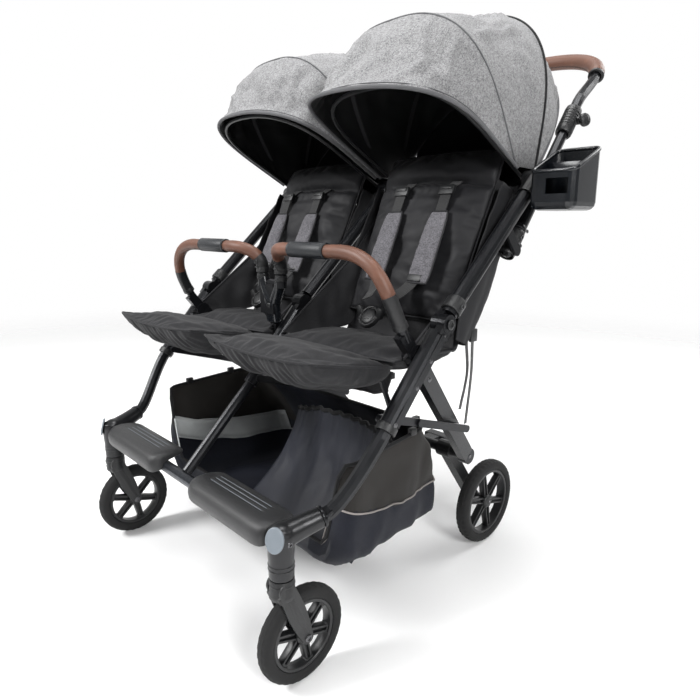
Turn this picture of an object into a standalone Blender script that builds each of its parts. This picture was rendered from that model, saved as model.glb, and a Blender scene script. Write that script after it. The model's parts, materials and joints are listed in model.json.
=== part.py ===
"""Side by side double stroller with a folding frame.

Metres, +Z up, the ground at z = 0.  The front faces -Y and the rider's
left-hand seat lies on +X.  Y = 0 is the axis of the front caster stems.
"""
import math

import bmesh
import bpy
from mathutils import Matrix, Vector

# Running clearances
GAP = 0.0004
SLIDE = 0.0006
FACE_STEP = 0.0010

# Seats: each pan lies between the middle of the frame and a rear leg
SEAT_INNER = 0.0405
SEAT_HALF = 0.1405
SEAT_X = SEAT_INNER + SEAT_HALF
SEAT_SIDE_GAP = 0.01175
SEAT_FRONT_Y = 0.2308
SEAT_BACK_Y = 0.345
SEAT_LOW = 0.4665
SEAT_THICK = 0.021
SEAT_BAR_DEEP = 0.0107
SEAT_BAR_TALL = 0.0100
REST_HINGE = (0.230, 0.455)
REST_HALF = SEAT_HALF + 0.0095
REST_LENGTH = 0.168
REST_THICK = 0.028
REST_TILT = math.radians(-9.3)
RECLINE = (0.378, 0.474)
BACK_START = 0.076
TAB_RUN = 0.2687
BACK_LENGTH = 0.325
BACK_HALF = SEAT_HALF - 0.0045
BACK_THICK = 0.034
BACK_ANGLE = math.radians(65.4)
PADS = ((SEAT_X - 0.049, 0.155), (SEAT_X + 0.059, 0.130))
PAD_TOP = 0.262
SHELL_WALL = 0.003
SHELL_HALF = SEAT_HALF + 0.0145
SHELL_ROWS = ((0.112, 0.020), (0.184, 0.059), (0.334, 0.060))

# Side frames: the line of the front legs and of the upper tubes
REAR_LEG_WIDE = 0.030
REAR_LEG_THICK = 0.0175
REAR_LEG_X = SEAT_X + SEAT_HALF + SEAT_SIDE_GAP + REAR_LEG_THICK / 2
REAR_LEG_LOW_X = REAR_LEG_X - 0.042
REAR_LEG_TOP = (0.2262, 0.5366)
CENTRE_REAR_X = -0.0235
SIDE_X = REAR_LEG_X + 0.026
CAST_Z = 0.262
CROSS_Y = 0.008
CROSS_Z = 0.246
CROSS_TUBE = 0.011
SLEEVE_START = (0.164, 0.397)
FOLD = (0.300, 0.548)
CROSSING = (0.256, 0.4995)
TOP = (0.569, 0.789)
LEG_TUBE = 0.012
SLEEVE_RADIUS = 0.0155
CENTRE_SLEEVE = 0.0135
CENTRE_TUBE = 0.010
UPPER_TUBE = 0.0140
CENTRE_UPPER = 0.0130
KNUCKLE = 0.0165
FITTING_IN = SIDE_X - 0.0208
FITTING_OUT = SIDE_X + 0.0190
CENTRE_BARREL_HALF = 0.0278

# Front casters
STEM_X = SIDE_X - 0.055
STEM_RADIUS = 0.0195
STEM_LOW = 0.1960
TRAIL = 0.034
FRONT_RADIUS = 0.080
FRONT_WIDTH = 0.026
FRONT_RIM_RADIUS = 0.0590
HEAD_LOW = 0.1640
FORK_PLATE = 0.0045
BOSS_IN = STEM_X - 0.0215
FOOTREST_IN = 0.066
FOOTREST_OUT = STEM_X - 0.023

# Rear wheels and axle
REAR_X = REAR_LEG_LOW_X - 0.017
REAR_Y = 0.590
REAR_RADIUS = 0.095
REAR_WIDTH = 0.028
REAR_RIM_RADIUS = 0.0735
HUB_INSET = 0.0005
HUB_RADIUS = 0.0150
SPOKE_START = 0.0122
AXLE_Y = 0.484
AXLE_Z = 0.241
AXLE_TUBE = 0.011
AXLE_ARM_X = REAR_LEG_LOW_X - 0.0505
BRAKE_X = 0.190

# Folding links between front and rear legs
LINK_FRONT = (0.175, 0.409)
LINK_MID = (0.272, 0.378)
LINK_REAR = (0.409, 0.332)
LINK_WIDE = 0.014
LINK_THICK = 0.0044
LINK_PIN = 0.0050

# Handle
HANDLE_X = SIDE_X - 0.016
HANDLE_FOOT = (0.515, 0.659)
HANDLE_RUN = 0.370
HANDLE_TUBE = 0.0105
HANDLE_BARREL = 0.0145
BARREL_LENGTH = 0.150
TRIGGER_START = 0.284
TRIGGER_LENGTH = 0.066
TRIGGER_RADIUS = 0.0165
GRIP_RADIUS = 0.0158
GRIP_BORE = 0.0118
HANDLE_SHOULDER = (0.815, 1.000)
BAR_TOP_Y = 0.908
BAR_TOP_Z = 1.076

# Canopies: each rib has its foot, its crown, the squareness of its shoulders and
# of its sides, and how far its middle bows out in Y and Z
CANOPY_INNER = 0.008
CANOPY_OUTER = SIDE_X - 0.016
CANOPY_X = (CANOPY_INNER + CANOPY_OUTER) / 2
CANOPY_HALF = (CANOPY_OUTER - CANOPY_INNER) / 2
CANOPY_WALL = 0.003
BRIM = ((0.530, 0.808), (0.287, 0.937), (2.3, 5.2), (-0.038, -0.010))
MIDDLE_RIB = ((0.523, 0.810), (0.374, 1.058), (2.7, 4.1), (0.0, 0.0))
REAR_RIB = ((0.590, 0.808), (0.662, 1.122), (1.9, 3.5), (0.0, 0.0))
REAR_HEM = ((0.604, 0.813), (0.790, 1.035), (1.9, 2.6), (0.0, 0.0))
CANOPY_STEPS = (5, 4, 3)
ARCH_STEPS = 16
BOW_FOOT = 0.030
BOW_RADIUS = 0.0038
BOW_CLEAR = 0.0050
BOW_INNER_X = CENTRE_BARREL_HALF + SLIDE + BOW_RADIUS
BOW_OUTER_X = FITTING_IN - SLIDE - BOW_RADIUS

# Bumper bars
BUMPER_RADIUS = 0.0118
BUMPER_TOP = (0.192, 0.664)
BUMPER_INNER = (0.2262, 0.6116)
BUMPER_OUTER = (0.2262, 0.5460)
BUMPER_INNER_X = 0.030
BUMPER_LEAN = math.atan2(0.48, 0.88)
BUMPER_GRIP = 0.0140
BUMPER_BEND = 0.062
BUMPER_FALL = 0.107
GRIP_INSET = 0.016
GRIP_OUTSET = 0.030

# Basket
BASKET_WALL = 0.003
BASKET_CORNER = 0.030
BASKET_FRONT = 0.126
BASKET_REAR = 0.456
BASKET_HALF = SIDE_X - 0.055
BASKET_RIM_Z = 0.326
BASKET_FLOOR_Z = 0.102

# Caddy
CADDY_WIDE = 0.084
CADDY_DEEP = 0.098
CADDY_TALL = 0.1088
CADDY_DROP = 0.0218
CADDY_WALL = 0.003
CADDY_Y = 0.552
CADDY_LOW = 0.730
CADDY_HIGH = CADDY_LOW + CADDY_TALL
CADDY_RIM = CADDY_HIGH - CADDY_DROP
CLIP_REACH = 0.0249
CADDY_X = HANDLE_X + HANDLE_BARREL + SLIDE + CLIP_REACH + CADDY_WIDE / 2

FRONT_LINE = math.atan2(FOLD[1] - SLEEVE_START[1], FOLD[0] - SLEEVE_START[0])
UPPER_LINE = math.atan2(TOP[1] - FOLD[1], TOP[0] - FOLD[0])
HANDLE_LINE = math.atan2(0.7795, 0.6264)

for stale in list(bpy.data.objects):
    bpy.data.objects.remove(stale, do_unlink=True)

parts = bpy.data.collections.new("double_stroller")
bpy.context.scene.collection.children.link(parts)
cutters = bpy.data.collections.new("cutters")
bpy.context.scene.collection.children.link(cutters)


# Materials

def material(name, colour, roughness, metallic=0.0):
    made = bpy.data.materials.new(name)
    made.use_nodes = True
    shader = made.node_tree.nodes["Principled BSDF"]
    shader.inputs["Base Color"].default_value = (*colour, 1.0)
    shader.inputs["Roughness"].default_value = roughness
    shader.inputs["Metallic"].default_value = metallic
    made.diffuse_color = (*colour, 1.0)
    return made


# Geometry helpers

def at(x, point):
    return Vector((x, point[0], point[1]))


def along(point, angle, distance):
    return (point[0] + distance * math.cos(angle), point[1] + distance * math.sin(angle))


def bezier(start, first, second, end, count):
    points = []
    for index in range(count + 1):
        t = index / count
        s = 1.0 - t
        points.append(start * s ** 3 + first * 3 * s * s * t + second * 3 * s * t * t + end * t ** 3)
    return points


def frame_between(start, end):
    """Matrix whose Z runs from start to end and whose X stays near world X."""
    z_axis = (end - start).normalized()
    y_axis = z_axis.cross(Vector((1.0, 0.0, 0.0)))
    if y_axis.length < 1e-6:
        y_axis = Vector((0.0, 1.0, 0.0))
    y_axis.normalize()
    x_axis = y_axis.cross(z_axis)
    turned = Matrix((x_axis, y_axis, z_axis)).transposed().to_4x4()
    return Matrix.Translation((start + end) / 2) @ turned


def new_object(name, mesh):
    made = bpy.data.objects.new(name, mesh)
    parts.objects.link(made)
    return made


def mesh_object(name, bm):
    mesh = bpy.data.meshes.new(name)
    bm.to_mesh(mesh)
    bm.free()
    return new_object(name, mesh)


def soften(made, width, segments=2):
    bevel = made.modifiers.new("soft_edges", "BEVEL")
    bevel.width = width
    bevel.segments = segments
    bevel.limit_method = "ANGLE"
    bevel.angle_limit = math.radians(50)
    return made


def box(name, size, centre, tilt=0.0, bevel=0.0, segments=2):
    bm = bmesh.new()
    bmesh.ops.create_cube(bm, size=1.0)
    bmesh.ops.scale(bm, vec=Vector(size), verts=bm.verts)
    made = mesh_object(name, bm)
    made.location = centre
    made.rotation_euler = (tilt, 0.0, 0.0)
    if bevel:
        soften(made, bevel, segments)
    return made


def rod(name, start, end, radius, sides=16, end_radius=None):
    bm = bmesh.new()
    bmesh.ops.create_cone(bm, cap_ends=True, segments=sides, radius1=radius,
                          radius2=radius if end_radius is None else end_radius,
                          depth=(end - start).length)
    made = mesh_object(name, bm)
    made.matrix_world = frame_between(start, end)
    return made


def beam(name, start, end, wide, thick, bevel=0.0, extend=0.0):
    """Flat bar from start to end: thick along X, wide in the side plane."""
    bm = bmesh.new()
    bmesh.ops.create_cube(bm, size=1.0)
    bmesh.ops.scale(bm, vec=Vector((thick, wide, (end - start).length + 2 * extend)), verts=bm.verts)
    made = mesh_object(name, bm)
    made.matrix_world = frame_between(start, end)
    if bevel:
        soften(made, bevel)
    return made


def disc(name, x_low, x_high, point, radius, sides=20):
    low, high = min(x_low, x_high), max(x_low, x_high)
    return rod(name, at(low, point), at(high, point), radius, sides)


def ball(name, centre, radius):
    bm = bmesh.new()
    bmesh.ops.create_uvsphere(bm, u_segments=12, v_segments=8, radius=radius)
    made = mesh_object(name, bm)
    made.location = centre
    return made


def curve_data(name, points, radius, rings):
    data = bpy.data.curves.new(name, "CURVE")
    data.dimensions = "3D"
    data.bevel_depth = radius
    data.bevel_resolution = rings
    data.use_fill_caps = True
    spline = data.splines.new("POLY")
    spline.points.add(len(points) - 1)
    for knot, point in zip(spline.points, points):
        knot.co = (*point, 1.0)
    return data


def tube(name, points, radius, rings=3, open_ended=False):
    """Round tube through the points, turned into a welded mesh."""
    data = curve_data(name, points, radius, rings)
    data.use_fill_caps = not open_ended
    guide = bpy.data.objects.new(name + "_guide", data)
    cutters.objects.link(guide)
    bpy.context.view_layer.update()
    mesh = bpy.data.meshes.new_from_object(guide.evaluated_get(bpy.context.evaluated_depsgraph_get()))
    mesh.name = name
    bpy.data.objects.remove(guide, do_unlink=True)
    bm = bmesh.new()
    bm.from_mesh(mesh)
    bmesh.ops.remove_doubles(bm, verts=bm.verts, dist=0.00002)
    bm.to_mesh(mesh)
    bm.free()
    return new_object(name, mesh)


def sleeve_over(name, points, radius, wall, rings=3):
    """Hollow cover of the given outer radius along the points."""
    made = tube(name, points, radius, rings, open_ended=True)
    shell = made.modifiers.new("wall", "SOLIDIFY")
    shell.thickness = wall
    shell.offset = -1.0
    return made


def turned(name, profile, centre, direction, steps=32):
    """Solid of revolution: profile of (radius, height) turned round direction."""
    bm = bmesh.new()
    knots = [bm.verts.new((radius, 0.0, height)) for radius, height in profile]
    for first, second in zip(knots, knots[1:] + knots[:1]):
        bm.edges.new((first, second))
    made = mesh_object(name, bm)
    screw = made.modifiers.new("turn", "SCREW")
    screw.angle = math.radians(360)
    screw.steps = steps
    screw.render_steps = steps
    screw.use_merge_vertices = True
    screw.merge_threshold = 0.00005
    half = direction.normalized() * 0.5
    made.matrix_world = frame_between(centre - half, centre + half)
    return made


def slab(name, outline, x_low, x_high):
    """Flat outline in the side plane, extruded along X."""
    data = bpy.data.curves.new(name, "CURVE")
    data.dimensions = "2D"
    data.fill_mode = "BOTH"
    data.extrude = (x_high - x_low) / 2
    spline = data.splines.new("POLY")
    spline.points.add(len(outline) - 1)
    for knot, point in zip(spline.points, outline):
        knot.co = (point[0], point[1], 0.0, 1.0)
    spline.use_cyclic_u = True
    guide = bpy.data.objects.new(name + "_guide", data)
    cutters.objects.link(guide)
    bpy.context.view_layer.update()
    mesh = bpy.data.meshes.new_from_object(guide.evaluated_get(bpy.context.evaluated_depsgraph_get()))
    mesh.name = name
    bpy.data.objects.remove(guide, do_unlink=True)
    bm = bmesh.new()
    bm.from_mesh(mesh)
    bmesh.ops.remove_doubles(bm, verts=bm.verts, dist=0.00002)
    bm.to_mesh(mesh)
    bm.free()
    made = new_object(name, mesh)
    made.location = ((x_low + x_high) / 2, 0.0, 0.0)
    made.rotation_euler = (math.radians(90), 0.0, math.radians(90))
    return made


def combine(base, operation, others):
    for other in others:
        parts.objects.unlink(other)
        cutters.objects.link(other)
        other.hide_render = True
        other.display_type = "WIRE"
        step = base.modifiers.new("with_" + other.name, "BOOLEAN")
        step.operation = operation
        step.solver = "EXACT"
        step.object = other
    return base


def joined(base, *others):
    return combine(base, "UNION", others)


def cut(base, *others):
    return combine(base, "DIFFERENCE", others)


def pivot(name, location):
    empty = bpy.data.objects.new(name, None)
    empty.location = location
    empty.empty_display_size = 0.03
    parts.objects.link(empty)
    return empty


def place(made, look, body=None):
    """Give a part its material and hang it on its body's pivot."""
    if made.data.materials:
        made.data.materials[0] = look
    else:
        made.data.materials.append(look)
    for polygon in made.data.polygons:
        polygon.use_smooth = True
    made.data.set_sharp_from_angle(angle=math.radians(35))
    if body is not None:
        made.parent = body
        made.matrix_parent_inverse = Matrix.Translation(body.location).inverted()
    return made


SIDES = (("R", 1.0), ("L", -1.0))

satin_black = material("satin_black_frame", (0.030, 0.031, 0.034), 0.42, 0.55)
dark_tube = material("dark_grey_tube", (0.075, 0.080, 0.092), 0.32, 0.75)
black_plastic = material("black_plastic", (0.018, 0.018, 0.019), 0.50)
grey_plastic = material("grey_plastic", (0.085, 0.088, 0.095), 0.48)
tread_rubber = material("tread_rubber", (0.016, 0.016, 0.016), 0.82)
brown_leather = material("brown_leather", (0.190, 0.075, 0.035), 0.48)
heather_fabric = material("grey_heather_fabric", (0.300, 0.300, 0.305), 0.92)
black_fabric = material("black_fabric", (0.022, 0.022, 0.024), 0.90)
charcoal_fabric = material("charcoal_fabric", (0.045, 0.045, 0.048), 0.94)
caddy_plastic = material("blue_grey_plastic", (0.040, 0.048, 0.060), 0.40)

# Body pivots, each on its joint's axis
frame_body = pivot("front_frame", (0.0, 0.0, CAST_Z))
upper_body = pivot("upper_frame_fold_axis", (0.0, *FOLD))
rear_body = pivot("rear_legs_axis", (0.0, *CROSSING))
front_links_body = pivot("front_links_axis", (0.0, *LINK_FRONT))
rear_links_body = pivot("rear_links_axis", (0.0, *LINK_MID))
handle_body = pivot("handle_axis", (0.0, *HANDLE_FOOT))


def line_point(distance):
    """Point on the front legs' line, measured up from the sleeve's start."""
    return along(SLEEVE_START, FRONT_LINE, distance)


# Front castings, cross tube and footrest plates

def socket_line(side):
    """Mouth of the casting's socket and the direction in which it points."""
    root = Vector((STEM_X * side, 0.010, CAST_Z))
    mouth = Vector(((STEM_X + 0.018) * side, 0.064, 0.276))
    return mouth, (mouth - root).normalized()


def corner_casting(tag, side):
    x = STEM_X * side
    socket_end = socket_line(side)[0]
    stem = rod("corner_casting_" + tag, Vector((x, 0.0, STEM_LOW)), Vector((x, 0.0, CAST_Z)), STEM_RADIUS, 20)
    head = rod("casting_head_" + tag, Vector((x, -0.014, CAST_Z)), Vector((x, 0.030, CAST_Z)), 0.0215, 20)
    socket = rod("casting_socket_" + tag, Vector((x, 0.010, CAST_Z)), socket_end, 0.0165, 16)
    boss = rod("casting_boss_" + tag, Vector((BOSS_IN * side, CROSS_Y, CROSS_Z)),
               Vector(((STEM_X - 0.007) * side, CROSS_Y, CROSS_Z)), 0.0140, 16)
    joined(stem, head, socket, boss)
    return place(stem, satin_black, frame_body)


for tag, side in SIDES:
    corner_casting(tag, side)

cross_tube = rod("front_cross_tube", Vector((-BOSS_IN + GAP, CROSS_Y, CROSS_Z)),
                 Vector((BOSS_IN - GAP, CROSS_Y, CROSS_Z)), CROSS_TUBE, 16)
place(cross_tube, dark_tube, frame_body)

FOOTREST_OUTLINE = (
    (-0.0220, 0.238), (-0.0037, 0.238), (-0.0037, 0.2555), (0.0080, 0.2577), (0.0240, 0.2620),
    (0.0500, 0.2650), (0.0500, 0.2700), (0.0300, 0.2745), (0.0020, 0.2755), (-0.0130, 0.2710),
    (-0.0200, 0.2620), (-0.0230, 0.2500),
)
for tag, side in SIDES:
    low, high = sorted((FOOTREST_IN * side, FOOTREST_OUT * side))
    plate = slab("footrest_" + tag, FOOTREST_OUTLINE, low, high)
    grooves = []
    for index in range(4):
        groove_y = 0.006 + 0.0095 * index
        grooves.append(box("footrest_groove_%s_%d" % (tag, index), (0.150, 0.0022, 0.004),
                           Vector(((low + high) / 2, groove_y, 0.2762))))
    cut(plate, *grooves)
    place(plate, grey_plastic, frame_body)


# Front legs with their upper sleeves and fold knuckles

STRUT_TOP = (0.178, 0.470)
STRUT_FOOT = (0.188, 0.424)
STRUT_WIDE = 0.007
STRUT_THICK = 0.005
CENTRE_STRUT_TOP = (0.172, 0.452)
CENTRE_STRUT_FOOT = (0.186, 0.425)


def knuckle(name, side_x, inward, radius, toward, centre):
    """Half-width eye of a fold pivot with its neck."""
    x_near = side_x + (GAP / 2) * inward
    x_far = side_x + (radius - 0.0006) * inward
    middle = (x_near + x_far) / 2
    eye = disc(name + "_eye", x_near, x_far, centre, KNUCKLE, 20)
    neck_end = along(centre, toward, KNUCKLE + 0.008)
    neck = beam(name + "_neck", at(middle, centre), at(middle, neck_end), 2 * radius - 0.006,
                abs(x_far - x_near) - FACE_STEP)
    return joined(eye, neck)


def leg_sweep(side):
    """Centre line of a front leg, from the casting's socket into its sleeve."""
    socket_end, socket_run = socket_line(side)
    start = socket_end + socket_run * GAP
    end = at(SIDE_X * side, SLEEVE_START)
    out = socket_run * 0.034
    back = Vector((0.0, math.cos(FRONT_LINE), math.sin(FRONT_LINE))) * 0.045
    return [start] + bezier(start + socket_run * 0.006, start + out, end - back, end + back * 0.1, 9)


def front_leg(tag, side):
    end = at(SIDE_X * side, SLEEVE_START)
    lower = tube("front_leg_" + tag, leg_sweep(side), LEG_TUBE, 3)
    length = (at(0, FOLD) - at(0, SLEEVE_START)).length - KNUCKLE - 0.003
    sleeve = rod("front_sleeve_" + tag, end, at(SIDE_X * side, line_point(length)), SLEEVE_RADIUS, 16)
    strip = beam("front_strip_" + tag, at((SIDE_X + SLEEVE_RADIUS - 0.001) * side, line_point(0.012)),
                 at((SIDE_X + SLEEVE_RADIUS - 0.001) * side, line_point(length - 0.004)), 0.013, 0.004)
    strut = beam("front_strut_" + tag, Vector(((SIDE_X - 0.0215) * side, *STRUT_TOP)),
                 Vector(((SIDE_X - 0.0110) * side, *STRUT_FOOT)), STRUT_WIDE, STRUT_THICK)
    eye = knuckle("front_knuckle_" + tag, SIDE_X * side, side, SLEEVE_RADIUS, FRONT_LINE + math.pi, FOLD)
    joined(lower, sleeve, strip, strut, eye)
    return place(lower, satin_black, frame_body)


for tag, side in SIDES:
    front_leg(tag, side)

centre_direction = math.atan2(SLEEVE_START[1] - CROSS_Z, SLEEVE_START[0] - CROSS_Y)
centre_foot = along((CROSS_Y, CROSS_Z), centre_direction, CROSS_TUBE + GAP)
centre_leg = rod("front_leg_C", at(0.0, centre_foot), at(0.0, along(SLEEVE_START, centre_direction, 0.004)),
                 CENTRE_TUBE, 14)
centre_length = (at(0, FOLD) - at(0, SLEEVE_START)).length - KNUCKLE - 0.003
centre_sleeve = rod("front_sleeve_C", at(0.0, SLEEVE_START), at(0.0, line_point(centre_length)),
                    CENTRE_SLEEVE, 16)
centre_strut = beam("front_strut_C", at(0.0, CENTRE_STRUT_TOP), at(0.0, CENTRE_STRUT_FOOT),
                    STRUT_WIDE, STRUT_THICK)
centre_eye = knuckle("front_knuckle_C", 0.0, 1.0, CENTRE_SLEEVE, FRONT_LINE + math.pi, FOLD)
seat_bar = box("seat_bar", (2 * (SEAT_X + SEAT_HALF - 0.004), SEAT_BAR_DEEP, SEAT_BAR_TALL),
               Vector((0.0, SEAT_FRONT_Y + SEAT_BAR_DEEP / 2, SEAT_LOW - GAP - SEAT_BAR_TALL / 2)))
joined(centre_leg, centre_sleeve, centre_strut, centre_eye, seat_bar)
place(centre_leg, satin_black, frame_body)


# Upper tubes and their top fittings

def upper_tube(tag, side_x, inward, radius, end_distance):
    shoulder = along(FOLD, UPPER_LINE, KNUCKLE + 0.003)
    end = along(TOP, UPPER_LINE, -end_distance)
    body = rod("upper_tube_" + tag, at(side_x, shoulder), at(side_x, end), radius, 16)
    eye = knuckle("upper_knuckle_" + tag, side_x, inward, radius, UPPER_LINE, FOLD)
    joined(body, eye)
    return body


COLLAR_LENGTH = 0.047
foot_offset = Vector(HANDLE_FOOT) - Vector(FOLD)
upper_normal = Vector((-math.sin(UPPER_LINE), math.cos(UPPER_LINE)))
LUG_LENGTH = -foot_offset.dot(upper_normal) - 0.006
for tag, side in SIDES:
    body = upper_tube(tag, SIDE_X * side, -side, UPPER_TUBE, COLLAR_LENGTH + GAP)
    lug_high = along(HANDLE_FOOT, UPPER_LINE + math.pi / 2, LUG_LENGTH)
    lug = beam("handle_lug_" + tag, at((HANDLE_X + 0.0178) * side, HANDLE_FOOT),
               at((HANDLE_X + 0.0178) * side, lug_high), 0.020, 0.005)
    lug_eye = disc("handle_lug_eye_" + tag, (HANDLE_X + HANDLE_BARREL + SLIDE) * side,
                   (HANDLE_X + 0.0203) * side, HANDLE_FOOT, 0.0105, 16)
    joined(body, lug, lug_eye)
    place(body, satin_black, upper_body)

    collar = rod("top_fitting_" + tag, at(SIDE_X * side, along(TOP, UPPER_LINE, -COLLAR_LENGTH)),
                 at(SIDE_X * side, along(TOP, UPPER_LINE, -0.006)), 0.0168, 16)
    barrel = disc("fitting_barrel_" + tag, FITTING_IN * side, FITTING_OUT * side, TOP, 0.0155, 20)
    cap = disc("fitting_cap_" + tag, (FITTING_OUT - 0.001) * side, (FITTING_OUT + 0.0025) * side, TOP,
               0.0130, 20)
    joined(collar, barrel, cap)
    place(collar, black_plastic, upper_body)

centre_upper = upper_tube("C", 0.0, -1.0, CENTRE_UPPER, 0.0)
centre_barrel = disc("centre_barrel", -CENTRE_BARREL_HALF, CENTRE_BARREL_HALF, TOP, 0.0145, 20)
joined(centre_upper, centre_barrel)
place(centre_upper, satin_black, upper_body)


# Rear legs, centre post and bumper sockets

UP = Vector((0.0, 0.0, 1.0))
LEAN = Vector((0.0, -math.sin(BUMPER_LEAN), math.cos(BUMPER_LEAN)))


def rear_leg_x(distance):
    reach = (at(0, (AXLE_Y, AXLE_Z)) - at(0, CROSSING)).length
    return REAR_LEG_X + (REAR_LEG_LOW_X - REAR_LEG_X) * distance / reach


for tag, side in SIDES:
    crossing = at(REAR_LEG_X * side, CROSSING)
    low_end = Vector((REAR_LEG_LOW_X * side, AXLE_Y, AXLE_Z))
    main = beam("rear_leg_" + tag, crossing, low_end, REAR_LEG_WIDE, REAR_LEG_THICK)
    half_thick = (REAR_LEG_THICK + FACE_STEP) / 2
    top_eye = disc("rear_leg_eye_" + tag, (REAR_LEG_X - half_thick) * side,
                   (SIDE_X - SLEEVE_RADIUS - GAP) * side, CROSSING, 0.0170, 20)
    low_eye = disc("rear_leg_foot_" + tag, (REAR_LEG_LOW_X - half_thick) * side,
                   (REAR_LEG_LOW_X + half_thick) * side, (AXLE_Y, AXLE_Z), 0.0168, 20)
    socket_top = Vector((REAR_LEG_X * side, *BUMPER_OUTER)) - LEAN * GAP
    socket = rod("bumper_socket_" + tag, socket_top - LEAN * 0.026, socket_top, 0.0092, 14)
    neck = beam("bumper_neck_" + tag, crossing, Vector((REAR_LEG_X * side, *REAR_LEG_TOP)), 0.022, 0.0165,
                extend=0.0)
    joined(main, top_eye, low_eye, neck, socket)
    place(main, satin_black, rear_body)

centre_low = (AXLE_Y, AXLE_Z)
reach_vector = at(0, centre_low) - at(0, CROSSING)
rear_angle = math.atan2(reach_vector.z, reach_vector.y)
post_main = beam("centre_post", at(CENTRE_REAR_X, CROSSING),
                 at(CENTRE_REAR_X, along(centre_low, rear_angle, -AXLE_TUBE - GAP)), 0.024,
                 REAR_LEG_THICK - FACE_STEP)
post_half = REAR_LEG_THICK / 2
post_eye = disc("post_eye", CENTRE_REAR_X - post_half, -CENTRE_SLEEVE - GAP, CROSSING, 0.0150, 20)
post_neck = beam("post_neck", at(CENTRE_REAR_X, CROSSING), Vector((CENTRE_REAR_X, 0.2285, 0.5420)), 0.018,
                 REAR_LEG_THICK - 2 * FACE_STEP)
post_block = box("post_block", (0.0440, 0.0175, 0.0600), Vector((-0.0108, 0.2275, 0.5610)))
post_yoke = box("post_yoke", (0.0600, 0.0170, 0.0140), Vector((0.0, 0.2300, 0.5915)))
arms = []
for tag, side in SIDES:
    arm_top = Vector((BUMPER_INNER_X * side, *BUMPER_INNER)) - UP * GAP
    arms.append(rod("post_arm_" + tag, arm_top - UP * 0.026, arm_top, 0.0112, 14))
joined(post_main, post_eye, post_neck, post_block, post_yoke, *arms)
place(post_main, satin_black, rear_body)

# Rear axle with its swing arms, and the brake pedal
axle_end = REAR_LEG_LOW_X - (REAR_LEG_THICK + FACE_STEP) / 2 - GAP
axle = rod("rear_axle", Vector((-axle_end, AXLE_Y, AXLE_Z)), Vector((axle_end, AXLE_Y, AXLE_Z)),
           AXLE_TUBE, 16)
axle_pieces = []
for tag, side in SIDES:
    axle_pieces.append(disc("axle_housing_" + tag, (AXLE_ARM_X - 0.0155) * side, (AXLE_ARM_X + 0.0165) * side,
                            (AXLE_Y, AXLE_Z), 0.0175, 16))
    axle_pieces.append(beam("axle_arm_" + tag, Vector((AXLE_ARM_X * side, AXLE_Y, AXLE_Z)),
                            Vector((AXLE_ARM_X * side, REAR_Y, REAR_RADIUS)), 0.024, 0.0220))
    stub_end = REAR_X - REAR_WIDTH / 2 + HUB_INSET - GAP
    axle_pieces.append(disc("axle_stub_" + tag, AXLE_ARM_X * side, stub_end * side,
                            (REAR_Y, REAR_RADIUS), 0.0110, 16))
joined(axle, *axle_pieces)
place(axle, black_plastic, rear_body)

brake_body = pivot("brake_axis", (0.0, AXLE_Y, AXLE_Z))
pedal_arm = box("brake_pedal", (0.030, 0.030, 0.010),
                Vector((BRAKE_X, AXLE_Y + AXLE_TUBE + GAP + 0.015, AXLE_Z)))
pedal_pad = box("brake_pad", (0.056, 0.026, 0.012),
                Vector((BRAKE_X, AXLE_Y + AXLE_TUBE + 0.036, AXLE_Z)), 0.0, 0.003)
joined(pedal_arm, pedal_pad)
place(pedal_arm, grey_plastic, brake_body)


# Wheels

def wheel(prefix, tag, centre, radius, rim_radius, width, body):
    """Rim with six paired spokes and a tyre seated round it."""
    half = width / 2
    axis = Vector((1.0, 0.0, 0.0))
    ring_half = half - 0.003
    inner = rim_radius - 0.006
    profile = ((inner, ring_half), (rim_radius, ring_half), (rim_radius, -ring_half), (inner, -ring_half))
    rim = turned(prefix + "_rim_" + tag, profile, centre, axis, 28)
    hub_half = half - HUB_INSET
    hub = rod(prefix + "_hub_" + tag, centre - axis * hub_half, centre + axis * hub_half, HUB_RADIUS, 16)
    bm = bmesh.new()
    long = inner + 0.002 - SPOKE_START
    for pair in range(6):
        for offset in (-0.0048, 0.0048):
            grown = bmesh.ops.create_cube(bm, size=1.0)["verts"]
            bmesh.ops.scale(bm, vec=Vector((width * 0.5, 0.0036, long)), verts=grown)
            bmesh.ops.translate(bm, vec=Vector((0.0, offset, SPOKE_START + long / 2)), verts=grown)
            turn = Matrix.Rotation(math.radians(60 * pair + 12), 3, "X")
            bmesh.ops.rotate(bm, cent=Vector((0.0, 0.0, 0.0)), matrix=turn, verts=grown)
    spokes = mesh_object(prefix + "_spokes_" + tag, bm)
    spokes.location = centre
    joined(rim, hub, spokes)
    place(rim, black_plastic, body)

    seat = rim_radius + GAP
    tyre_profile = (
        (seat, half * 0.80), (seat + 0.35 * (radius - seat), half), (radius - 0.0045, half * 0.86),
        (radius, half * 0.42), (radius, -half * 0.42), (radius - 0.0045, -half * 0.86),
        (seat + 0.35 * (radius - seat), -half), (seat, -half * 0.80),
    )
    tyre = turned(prefix + "_tyre_" + tag, tyre_profile, centre, axis, 32)
    return place(tyre, tread_rubber, body)


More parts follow.
